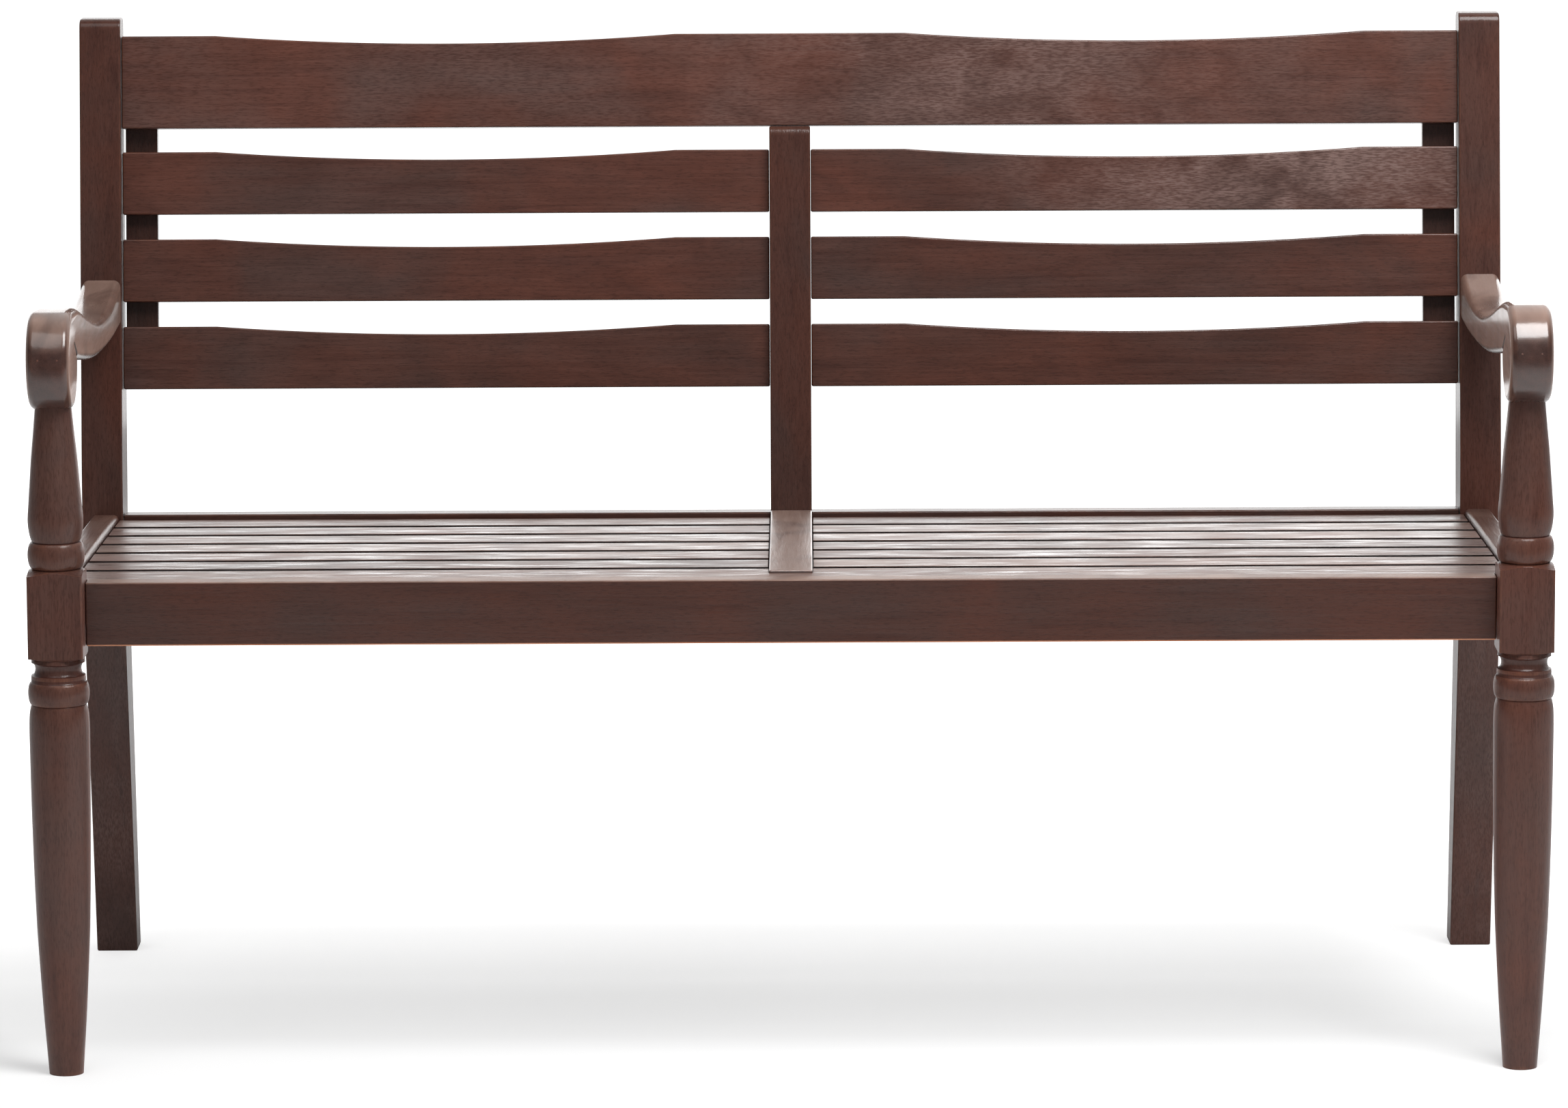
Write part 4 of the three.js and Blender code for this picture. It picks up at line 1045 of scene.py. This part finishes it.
class BENCH_OT_front_legs(BenchStep):
    """Turn both front legs from the floor up to the arms"""

    bl_idname = "bench.front_legs"
    bl_label = "Front Legs"

    def shoulder(self, neck_radius, drop):
        """A turned shoulder from a neck out past the corners of the block, as (radius, drop) points."""
        legs, gap = sizes("legs"), sizes("layout").gap
        start, end = neck_radius + gap, legs.block_width / math.sqrt(2) + gap
        steps = range(SHOULDER_STEPS + 1)
        radii = [start + (end - start) * step / SHOULDER_STEPS for step in steps]
        drops = [drop * math.sin(math.pi / 2 * step / SHOULDER_STEPS) for step in steps]
        return list(zip(radii, drops))

    def block(self):
        """The square block, its corners cut by the turned shoulders."""
        legs = sizes("legs")
        bottom, top = leg_heights()[5:7]
        half = legs.block_width / 2
        square = billet("block", (-half, -half, bottom), (half, half, top))
        sole = self.shoulder(legs.collar_radius, legs.sole_drop)
        crown = self.shoulder(legs.ring_edge_radius, legs.block_drop)
        profile = [(r, bottom + z) for r, z in sole] + [(r, top - z) for r, z in reversed(crown)]
        ease(square, sizes("layout").arris, CHAMFER_STEPS)
        return combine(square, [turned("shoulders", profile, legs.segments)], "INTERSECT")

    def execute(self, context):
        legs, layout = sizes("legs"), sizes("layout")
        heights = leg_heights()
        lower = [(r * legs.swell_radius, z * legs.swell_height) for z, r in smooth(SWELL_SHARES, SWELL_STEPS)]
        lower += band(heights[1], legs.bead_height, legs.bead_edge_radius, legs.bead_radius)
        lower.append((legs.fillet_radius, heights[2] + legs.fillet_height / 2))
        lower += band(heights[3], legs.cove_height, legs.fillet_radius - layout.gap, legs.cove_radius)
        lower += [
            (legs.collar_radius, heights[4] + layout.gap),
            (legs.collar_radius, heights[5]),
            (legs.cove_radius, heights[5] + legs.block_drop),
        ]
        upper = [(legs.ring_edge_radius, heights[6] - legs.block_drop)]
        upper += band(heights[6], legs.ring_height, legs.ring_edge_radius, legs.ring_radius)
        vase = smooth(VASE_SHARES, VASE_STEPS)[1:]
        upper += [(r * legs.vase_radius, heights[7] + z * legs.vase_height) for z, r in vase]
        leg = turned("front_leg", lower, legs.segments)
        combine(leg, [self.block(), turned("vase", upper, legs.segments)], "UNION")
        smooth_turning(leg)
        for side, hand in SIDES:
            place = (side * layout.leg_spacing / 2, layout.leg_axis, 0)
            piece = copied(leg, f"turned_leg_{hand}", place)
            fit(piece, [f"front_leg_{hand}"], stain("leg", f"_{hand}", side))
        bpy.data.objects.remove(leg)
        return {"FINISHED"}


class BENCH_OT_rear_posts(BenchStep):
    """Saw both rear posts with their splayed feet and raked tops"""

    bl_idname = "bench.rear_posts"
    bl_label = "Rear Posts"

    def execute(self, context):
        posts, layout = sizes("posts"), sizes("layout")
        depth, seat = layout.seat_depth, layout.seat_height
        top_front = post_front(posts.height)
        corners = (
            (0, depth + posts.splay, 0),
            (0, depth, seat - posts.knee_bottom_drop),
            (0, depth, knee_top()),
            (0, top_front, posts.height),
            (0, top_front + posts.top_depth / math.cos(layout.back_rake), posts.height),
            (0, depth + posts.knee_depth, seat - posts.knee_back_drop),
            (0, depth + posts.splay + posts.foot_depth, 0),
        )
        knee, top = posts.knee_easing, posts.top_rounding
        reaches = (0, knee, knee, top, top, knee, 0)
        bloom_place, bloom_reach, bloom_strength = POST_LIGHT_PATCH
        for side, hand in SIDES:
            inner = side * layout.post_spacing / 2 - posts.width / 2
            outline = [corner + Vector((inner, layout.leg_axis, 0)) for corner in blended(corners, reaches)]
            post = sawn(f"sawn_post_{hand}", outline, (posts.width, 0, 0))
            ease(post, layout.arris)
            # Painted light on the lower part of the post, in the shade of the seat
            bloom = ((inner, *bloom_place), bloom_reach, bloom_strength)
            finish = stain("post", f"_{hand}", side, tone=graded(POST_TONE_AND_LIGHT, side), bloom=bloom)
            fit(post, [f"rear_post_{hand}"], finish)
        return {"FINISHED"}


class BENCH_OT_arms(BenchStep):
    """Saw, round and taper both arms, then cut the curl of the scroll and the seat of the leg"""

    bl_idname = "bench.arms"
    bl_label = "Arms"

    def taper(self, arm, length_of_arm):
        """Draws the arm in towards the post with a cage of eight points."""
        arms, layout = sizes("arms"), sizes("layout")
        put_down_tools()
        middle = (0, length_of_arm / 2, scroll_height())
        bpy.ops.object.add(type="LATTICE", location=middle)
        cage = bpy.context.object
        cage.scale = (arms.front_width, length_of_arm, arms.scroll_radius * CAGE_RADII)
        bpy.context.view_layer.update()
        narrowing = arms.rear_width / arms.front_width
        drift = (layout.post_spacing - layout.leg_spacing) / 2 / arms.front_width
        for point in cage.data.points:
            if point.co.y > 0:
                point.co_deform.x = point.co.x * narrowing + drift
        modify(arm, "LATTICE", object=cage)
        bpy.data.objects.remove(cage)

    def execute(self, context):
        arms, layout, legs = sizes("arms"), sizes("layout"), sizes("legs")
        radius, centre = arms.scroll_radius, scroll_height()
        arm_length = post_front(centre)
        half = arms.front_width / 2

        def spot(along, up):
            return Vector((-half, along * arm_length, centre + up * radius))

        top = smooth([spot(*pair) for pair in ARM_TOP_SHARES], ARM_STEPS)
        underside = smooth([spot(*pair) for pair in ARM_UNDERSIDE_SHARES], ARM_STEPS)
        start, sweep = math.radians(CURL_MEET), math.radians(CURL_TOP - FULL_TURN - CURL_MEET)
        scroll = []
        for step in range(SCROLL_STEPS):
            turn = start + sweep * step / SCROLL_STEPS
            scroll.append(Vector((-half, radius * math.cos(turn), centre + radius * math.sin(turn))))
        arm = sawn("arm", top + underside + scroll, (arms.front_width, 0, 0))
        round_edges(arm, lambda a, b: abs(a.x - b.x) < SAME_PLACE, arms.rounding, ARM_EDGE_STEPS)
        post_face = Matrix.Translation((0, -layout.leg_axis, 0)) @ back_place()
        cut_off(arm, post_face @ Vector((0, -layout.gap, 0)), post_face.to_3x3() @ Vector((0, 1, 0)))
        curl = [Vector((-half * 2, y * radius, centre + z * radius)) for y, z in CURL_CUT_SHARES]
        combine(arm, [sawn("curl", curl, (half * 4, 0, 0))], "DIFFERENCE")
        self.taper(arm, arm_length)
        top_radius = legs.vase_radius * VASE_SHARES[-1][1] + arms.socket_gap
        shoulder = leg_heights()[-1] + layout.gap
        socket = turned("socket", [(top_radius, shoulder - radius), (top_radius, shoulder)], legs.segments)
        combine(arm, [socket], "DIFFERENCE")
        smooth_turning(arm)
        modify(arm, "WEIGHTED_NORMAL", weight=ARM_WEIGHT, keep_sharp=True)
        settle(arm, Matrix.Translation((layout.leg_spacing / 2, layout.leg_axis, 0)))
        for side, hand in SIDES:
            name = f"scroll_arm_{hand}"
            piece = copied(arm, name, (0, 0, 0)) if side > 0 else mirrored(arm, name)
            fit(piece, [f"arm_{hand}"], stain("arm", f"_{hand}", side))
        bpy.data.objects.remove(arm)
        return {"FINISHED"}


class BENCH_OT_arm_pins(BenchStep):
    """Plug the two pins in the front of each scroll"""

    bl_idname = "bench.arm_pins"
    bl_label = "Arm Pins"

    def execute(self, context):
        arms, layout = sizes("arms"), sizes("layout")
        face = -math.sqrt(arms.scroll_radius ** 2 - arms.pin_rise ** 2)
        radius, proud = arms.pin_radius, layout.gap
        profile = [(radius, -arms.pin_length), (radius, -proud), (radius * PIN_CROWN[0], 0)]
        profile.append((radius * PIN_CROWN[1], proud / 2))
        pin = turned("pin", profile, PIN_FACETS)
        smooth_turning(pin)
        settle(pin, Matrix.Rotation(math.pi / 2, 4, "X"))
        finish = stain("pin")
        for side, hand in SIDES:
            for index, offset in enumerate((-arms.pin_spacing / 2, arms.pin_spacing / 2)):
                place = (
                    side * layout.leg_spacing / 2 + offset,
                    layout.leg_axis + face + layout.gap / 2,
                    scroll_height() + arms.pin_rise,
                )
                piece = copied(pin, f"plug_{hand}_{index + 1}", place)
                fit(piece, [f"arm_pin_{hand}_{index + 1}"], finish)
        bpy.data.objects.remove(pin)
        return {"FINISHED"}


class BENCH_OT_rails(BenchStep):
    """Fit the front, rear and side rails of the seat"""

    bl_idname = "bench.rails"
    bl_label = "Seat Rails"

    def execute(self, context):
        rails, layout, legs = sizes("rails"), sizes("layout"), sizes("legs")
        seat, axis, gap = layout.seat_height, layout.leg_axis, layout.gap
        end = (layout.leg_spacing - legs.block_width) / 2 - gap
        low = axis + rails.front_setback
        high = axis + rails.front_setback + rails.front_thickness
        front = billet("apron", (-end, low, seat - rails.front_height), (end, high, seat))
        ease(front, layout.arris)
        fit(front, ["front_rail"], stain("apron"))
        end = post_inner() - gap
        low, high = axis + rear_rail_front(), axis + (rear_rail_front() + rails.rear_thickness)
        top = rear_rail_top()
        rear = billet("back_rail", (-end, low, top - rails.rear_height), (end, high, top))
        ease(rear, layout.arris)
        fit(rear, ["rear_rail"], stain("back_rail"))
        for side, hand in SIDES:
            inner, outer = (side * face for face in side_rail_faces())
            left = min(inner, outer)
            ends = (legs.block_width / 2 + gap, layout.seat_depth - gap)
            tops = [(left, axis + y, seat_level(y) + rails.side_rise) for y in ends]
            outline = [(x, y, z - rails.side_height) for x, y, z in tops] + tops[::-1]
            rail = sawn(f"end_rail_{hand}", outline, (rails.side_thickness, 0, 0))
            upper = seat - rails.side_height / 2

            def inner_top(*ends_of_edge):
                return all(abs(end.x - inner) < SAME_PLACE and end.z > upper for end in ends_of_edge)

            round_edges(rail, inner_top, rails.side_chamfer, CHAMFER_STEPS)
            ease(rail, layout.arris)
            fit(rail, [f"side_rail_{hand}"], stain("end_rail", f"_{hand}", side))
        return {"FINISHED"}


class BENCH_OT_seat_supports(BenchStep):
    """Stain the cleats and the bearer that carry the seat"""

    bl_idname = "bench.seat_supports"
    bl_label = "Seat Supports"

    def execute(self, context):
        for name, shift in SUPPORT_SHIFTS.items():
            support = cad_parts[name]
            support.data.materials.clear()
            support.data.materials.append(wood(f"{name}_wood", "y", shift, **FINISHES["support"]))
        return {"FINISHED"}


class BENCH_OT_seat_slats(BenchStep):
    """Lay the front slat and the slats of both bays"""

    bl_idname = "bench.seat_slats"
    bl_label = "Seat Slats"

    def execute(self, context):
        seat, layout = sizes("seat"), sizes("layout")
        rows = seat_slat_rows()
        outer = side_rail_faces()[0] - seat.slat_end_gap
        inner = seat.board_width / 2 + seat.slat_end_gap
        front = billet("long_slat", (-outer, rows[0][0], -seat.slat_thickness), (outer, rows[0][1], 0))
        half = seat.board_width / 2 + layout.gap
        housing = billet(
            "housing",
            (-half, rows[0][1] - seat.board_lap - layout.gap, -seat.slat_thickness - CUT_OVERRUN),
            (half, rows[0][1] + CUT_OVERRUN, CUT_OVERRUN),
        )
        combine(front, [housing], "DIFFERENCE")
        settle(front, seat_place())
        ease(front, seat.slat_arris, FINE_ARRIS_STEPS)
        fit(front, ["front_slat"], stain("long_slat"))
        for index, (low, high) in enumerate(rows[1:]):
            for side, hand in SIDES:
                ends = sorted((side * inner, side * outer))
                ending = f"_{hand}_{index + 1}"
                slat = billet(f"bay_slat{ending}", (ends[0], low, -seat.slat_thickness), (ends[1], high, 0))
                settle(slat, seat_place())
                ease(slat, seat.slat_arris, FINE_ARRIS_STEPS)
                tone = swayed(SEAT_SLAT_TONE, side, index)
                bleach = swayed(SEAT_SLAT_TOP_SHEEN, side, index)
                finish = stain("bay_slat", ending, side, index, tone=tone, bleach=bleach)
                fit(slat, [f"seat_slat{ending}"], finish)
        return {"FINISHED"}


class BENCH_OT_seat_board(BenchStep):
    """Fit the board along the middle of the seat"""

    bl_idname = "bench.seat_board"
    bl_label = "Seat Board"

    def execute(self, context):
        seat, layout = sizes("seat"), sizes("layout")
        front = seat_slat_rows()[0][1] - seat.board_lap
        end = stile_front(rear_rail_top()) - layout.gap * 2
        left = -seat.board_width / 2
        bottom = -seat.slat_thickness
        places = ((front, bottom), (end, bottom), (end, seat.board_rear_rise), (front, seat.board_rise))
        board = sawn("middle_board", [(left, y, z) for y, z in places], (seat.board_width, 0, 0))
        settle(board, seat_place())
        ease(board, seat.board_rise * BOARD_EASING, FINE_ARRIS_STEPS)
        fit(board, ["seat_board"], stain("board"))
        return {"FINISHED"}


def scooped(left, right, bottom, top, centres):
    """Front outline of a board with a shallow scoop in its top edge over each bay."""
    back = sizes("back")
    outline = [(left, 0, bottom), (right, 0, bottom), (right, 0, top)]
    for centre in sorted(centres, reverse=True):
        for step in range(SCOOP_STEPS + 1):
            across = 1 - 2 * step / SCOOP_STEPS
            x = centre + across * back.scoop_length / 2
            outline.append((x, 0, top - back.scoop_depth * (1 - across * across)))
    outline.append((left, 0, top))
    return outline


def bay_centre():
    """Middle of a bay from the middle of the bench."""
    return (post_inner() + sizes("back").stile_width / 2) / 2


class BENCH_OT_crest(BenchStep):
    """Saw the crest rail with a scoop over each bay"""

    bl_idname = "bench.crest"
    bl_label = "Crest Rail"

    def execute(self, context):
        back, layout = sizes("back"), sizes("layout")
        end = post_inner() - layout.gap
        bottom, top = crest_edges()
        outline = scooped(-end, end, bottom, top, (-bay_centre(), bay_centre()))
        crest = sawn("top_rail", outline, (0, back.crest_thickness, 0))
        settle(crest, back_place() @ Matrix.Translation((0, back.crest_setback, 0)))
        ease(crest, layout.arris)
        fit(crest, ["crest_rail"], stain("crest"))
        return {"FINISHED"}


class BENCH_OT_back_slats(BenchStep):
    """Saw the scooped slats of both bays of the back"""

    bl_idname = "bench.back_slats"
    bl_label = "Back Slats"

    def execute(self, context):
        back, layout = sizes("back"), sizes("layout")
        inner = back.stile_width / 2 + layout.gap
        outer = post_inner() - back.slat_end_gap
        for side, hand in SIDES:
            left, right = sorted((side * inner, side * outer))
            for index in range(back.slat_count):
                bottom, top = back_slat_edges(index)
                outline = scooped(left, right, bottom, top, [side * bay_centre()])
                ending = f"_{hand}_{index + 1}"
                slat = sawn(f"scooped_slat{ending}", outline, (0, back.slat_thickness, 0))
                settle(slat, back_place() @ Matrix.Translation((0, back.slat_setback, 0)))
                ease(slat, layout.arris)
                tone = graded(BACK_SLAT_TONE_AND_SHADE, side, index)
                # Painted highlight on the top right slat only
                bloom = SLAT_LIGHT_PATCH if (side, index) == (1, 0) else None
                finish = stain("scooped_slat", ending, side, index, tone=tone, bloom=bloom)
                fit(slat, [f"back_slat{ending}"], finish)
        return {"FINISHED"}


class BENCH_OT_stile(BenchStep):
    """Fit the upright with a rounded head in the middle of the back"""

    bl_idname = "bench.stile"
    bl_label = "Centre Stile"

    def execute(self, context):
        back, layout = sizes("back"), sizes("layout")
        front, rear = back.stile_setback, back.stile_setback + back.stile_thickness
        head = crest_edges()[0] - layout.gap
        rake = layout.back_rake

        def foot(y):
            return (rear_rail_top() + layout.gap - knee_top() + y * math.sin(rake)) / math.cos(rake)

        left = -back.stile_width / 2
        places = ((front, foot(front)), (front, head), (rear, head), (rear, foot(rear)))
        outline = blended([(left, y, z) for y, z in places], (0, back.stile_rounding, 0, 0))
        stile = sawn("upright", outline, (back.stile_width, 0, 0))
        settle(stile, back_place())
        ease(stile, layout.arris)
        fit(stile, ["centre_stile"], stain("upright"))
        return {"FINISHED"}


def batten_middle():
    """Middle of a batten from the middle of the bench."""
    back = sizes("back")
    return post_inner() - back.batten_gap - back.batten_width / 2


def batten_front():
    """Front face of the battens behind the post faces."""
    back = sizes("back")
    slat_back = back.slat_setback + back.slat_thickness
    return max(slat_back, back.crest_setback + back.crest_thickness) + sizes("layout").gap


class BENCH_OT_battens(BenchStep):
    """Fit the strips behind the outer ends of the back slats"""

    bl_idname = "bench.battens"
    bl_label = "Back Battens"

    def execute(self, context):
        back, layout = sizes("back"), sizes("layout")
        low = back_slat_edges(back.slat_count - 1)[0] + back.batten_short
        high = crest_edges()[0] + back.batten_lap
        front = batten_front()
        rear = front + back.batten_thickness
        pad_front = back.slat_setback + back.slat_thickness + layout.gap
        pad_rear = front + back.batten_thickness / 2
        for side, hand in SIDES:
            left, right = (side * batten_middle() + half * back.batten_width / 2 for half in (-1, 1))
            batten = billet(f"slat_batten_{hand}", (left, front, low), (right, rear, high))
            pads = []
            for index in range(back.slat_count):
                bottom, top = back_slat_edges(index)
                start = (left + layout.arris, pad_front, max(bottom, low) + layout.arris)
                end = (right - layout.arris, pad_rear, top - back.scoop_depth)
                pads.append(billet("pad", start, end))
            combine(batten, pads, "UNION")
            settle(batten, back_place())
            ease(batten, layout.arris)
            fit(batten, [f"back_batten_{hand}"], stain("slat_batten", f"_{hand}", side))
        return {"FINISHED"}


class BENCH_OT_fasteners(BenchStep):
    """Drive the screws of the battens and the bolts of the arms"""

    bl_idname = "bench.fasteners"
    bl_label = "Fasteners"

    def screw(self):
        """A countersunk screw head with a cross slot, facing backwards."""
        fasteners = sizes("fasteners")
        radius, height, half = fasteners.screw_radius, fasteners.screw_height, fasteners.screw_slot / 2
        head = turned("screw", [(radius * r, height * z) for r, z in SCREW_SHARES], SCREW_FACETS)
        reach = radius * SLOT_REACH
        slots = [
            billet(f"slot_{x}", (-x, -y, -height * SLOT_DEPTH), (x, y, height))
            for x, y in ((reach, half), (half, reach))
        ]
        combine(head, slots, "DIFFERENCE")
        return settle(smooth_turning(head), Matrix.Rotation(-math.pi / 2, 4, "X"))

    def bolt(self):
        """A bolt head with a hexagon socket, facing backwards."""
        fasteners = sizes("fasteners")
        radius, height, socket_radius = fasteners.bolt_radius, fasteners.bolt_height, fasteners.bolt_socket
        edge = radius * BOLT_CHAMFER
        head = turned("bolt", [(radius, -height), (radius, -edge), (radius - edge, 0)], BOLT_FACETS)
        depths = (-height * SOCKET_DEPTH, height)
        combine(head, [turned("hexagon", [(socket_radius, z) for z in depths], HEXAGON)], "DIFFERENCE")
        return settle(smooth_turning(head), Matrix.Rotation(-math.pi / 2, 4, "X"))

    def execute(self, context):
        back, layout, fasteners = sizes("back"), sizes("layout"), sizes("fasteners")
        brass = metal("dull_brass", fasteners.brass, fasteners.brass_roughness)
        steel = metal("plated_steel", fasteners.steel, fasteners.steel_roughness)
        screw, bolt = self.screw(), self.bolt()
        slats = [sum(back_slat_edges(index)) / 2 for index in range(back.slat_count)]
        heights = [crest_edges()[0] + back.batten_lap / 2, *slats]
        rear = batten_front() + back.batten_thickness
        rake, radius = layout.back_rake, fasteners.bolt_radius
        leaning = Euler((-rake, 0, 0)).to_matrix().to_4x4()
        for side, hand in SIDES:
            for index, height in enumerate(heights):
                ending = f"_{hand}_{index + 1}"
                piece = copied(screw, f"wood_screw{ending}", (side * batten_middle(), rear, height))
                settle(piece, back_place())
                fit(piece, [f"batten_screw{ending}"], brass)
            low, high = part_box(f"arm_bolt_{hand}")
            place = ((low.x + high.x) / 2, high.y - radius * math.sin(rake), low.z + radius * math.cos(rake))
            piece = copied(bolt, f"bolt_head_{hand}", (0, 0, 0))
            settle(piece, Matrix.Translation(place) @ leaning)
            fit(piece, [f"arm_bolt_{hand}"], steel)
        for pattern in (screw, bolt):
            bpy.data.objects.remove(pattern)
        return {"FINISHED"}


# Side of the floor in metres, and how white it looks in the gloss
FLOOR_SIZE = 40
FLOOR_GREY = 0.9
# Distances in metres over which the floor's glow rises to full and hides the bench's shadow: all round it,
# and behind it
OPEN_DISTANCE = (1.0, 2.4)
OPEN_DEPTH = (0.16, 0.65)
# Places in metres from front to back between which the floor changes: under the seat, where a lower glow at
# the front paints shade under the seat's front edge, and far in front
UNDER_SEAT = (-0.12, 0.12)
FAR_FRONT = (-2.0, -0.9)
# Directions between which the room changes in the gloss: from the front to the back, at the left end
TO_THE_BACK = (0, 0.6)
LEFT_END = (-0.13, -0.03)
# Lamps: place, point that it is turned to, width and height
LAMPS = {
    "key": ((0.95, -1.37, 2.85), (0.65, -0.3, 0.6), (1.5, 1.58)),
    "fill": ((-1.1, -1.37, 2.85), (-0.65, -0.3, 0.6), (1.5, 1.58)),
    "back": ((0, 3.2, 0.9), (0, 0, 0.9), (5.0, 1.6)),
}
# Width of the camera's sensor in millimetres, and how far it sees in metres
SENSOR_WIDTH = 36
VIEW_END = 100


def grey(level):
    """A colour without a hue."""
    return (level, level, level, 1)


class BENCH_OT_stage(BenchStep):
    """Set up the pale floor, the soft lamps, the white surroundings and the camera"""

    bl_idname = "bench.stage"
    bl_label = "Stage"

    def floor(self):
        """A wide pale floor that shows white and keeps a faint shadow."""
        stage = sizes("stage")
        put_down_tools()
        bpy.ops.mesh.primitive_plane_add(size=FLOOR_SIZE, location=(0, 0, 0))
        floor = named("floor")
        tree = Tree(bpy.data.materials.new("pale_floor"))
        place = tree.node("TexCoord").outputs["Object"]
        away = tree.measured("LENGTH", i0=place)
        depth = tree.axes(place)["Y"]
        beyond = (tree.scaled(away, 0, 1, *OPEN_DISTANCE), tree.scaled(depth, 0, 1, *OPEN_DEPTH))
        near = tree.scaled(depth, stage.front_glow, stage.near_glow, *UNDER_SEAT)
        level = tree.mix(tree.worked("MAXIMUM", *beyond), near, grey(stage.far_glow))
        glow = tree.out("Emission", Color=level, Strength=1.0)
        seen = tree.out("AddShader", i0=tree.diffuse(grey(stage.floor_white)), i1=glow)
        mirrored = tree.diffuse(tree.scaled(depth, stage.mirrored_front, FLOOR_GREY, *FAR_FRONT))
        surface = tree.by_ray(tree.diffuse(grey(FLOOR_GREY)), mirrored, seen)
        floor.data.materials.append(tree.finished(surface))

    def surroundings(self):
        """White behind and above the bench, greyer on the side that the bench faces."""
        stage = sizes("stage")
        world = bpy.data.worlds.new("studio")
        bpy.context.scene.world = world
        tree = Tree(world)
        axes = tree.axes(tree.node("TexCoord").outputs["Generated"])
        ahead = tree.scaled(axes["Y"], stage.mirrored_room, 1.0, *TO_THE_BACK)
        left = tree.scaled(axes["X"], stage.mirrored_left, 1.0, *LEFT_END)
        levels = (stage.sky, tree.product(ahead, left), 1.0)
        lighting, mirrored, seen = (tree.out("Background", Color=grey(1), Strength=level) for level in levels)
        tree.node("OutputWorld", Surface=tree.by_ray(lighting, mirrored, seen))

    def lamp(self, name, place, aim, size, watts):
        """A large soft lamp turned towards a point."""
        put_down_tools()
        bpy.ops.object.light_add(type="AREA", location=place)
        lamp = named(name)
        lamp.data.shape = "RECTANGLE"
        lamp.data.size, lamp.data.size_y = size
        lamp.data.energy = watts
        lamp.rotation_euler = (Vector(aim) - Vector(place)).to_track_quat("-Z", "Y").to_euler()
        lamp.visible_camera = False

    def execute(self, context):
        stage = sizes("stage")
        self.floor()
        self.surroundings()
        for name, setting in LAMPS.items():
            self.lamp(f"{name}_lamp", *setting, getattr(stage, f"{name}_power"))
        put_down_tools()
        turn = Euler((math.pi / 2 - stage.pitch, 0, stage.yaw)).to_quaternion()
        turn = turn @ Quaternion((0, 0, 1), stage.roll)
        bpy.ops.object.camera_add(location=stage.camera_place, rotation=turn.to_euler())
        camera = named("photo_camera")
        camera.data.lens = stage.lens
        camera.data.sensor_width = SENSOR_WIDTH
        camera.data.clip_end = VIEW_END
        context.scene.camera = camera
        context.scene.view_settings.view_transform = "Standard"
        return {"FINISHED"}


STEPS = (
    BENCH_OT_front_legs, BENCH_OT_rear_posts, BENCH_OT_arms, BENCH_OT_arm_pins, BENCH_OT_rails,
    BENCH_OT_seat_supports, BENCH_OT_seat_slats, BENCH_OT_seat_board, BENCH_OT_crest, BENCH_OT_back_slats,
    BENCH_OT_stile, BENCH_OT_battens, BENCH_OT_fasteners, BENCH_OT_stage,
)


class BENCH_PT_sidebar(bpy.types.Panel):
    """Lists the sizes, the colours and the steps of the bench"""

    bl_idname = "BENCH_PT_sidebar"
    bl_label = "Slatted Bench"
    bl_space_type = "VIEW_3D"
    bl_region_type = "UI"
    bl_category = "Bench"

    def draw(self, context):
        for step in STEPS:
            self.layout.operator(step.bl_idname)
        for group_name, group in GROUPS.items():
            box = self.layout.box()
            for key in group.__annotations__:
                box.prop(getattr(context.scene, group_name), key)


def register():
    for name, group in GROUPS.items():
        bpy.utils.register_class(group)
        setattr(bpy.types.Scene, name, PointerProperty(type=group))
    for step in STEPS:
        bpy.utils.register_class(step)
    bpy.utils.register_class(BENCH_PT_sidebar)


def unregister():
    bpy.utils.unregister_class(BENCH_PT_sidebar)
    for step in reversed(STEPS):
        bpy.utils.unregister_class(step)
    for name, group in GROUPS.items():
        delattr(bpy.types.Scene, name)
        bpy.utils.unregister_class(group)


def main():
    register()
    for step in STEPS:
        area, name = step.bl_idname.split(".")
        getattr(getattr(bpy.ops, area), name)()
    put_down_tools()


if __name__ == "__main__":
    main()
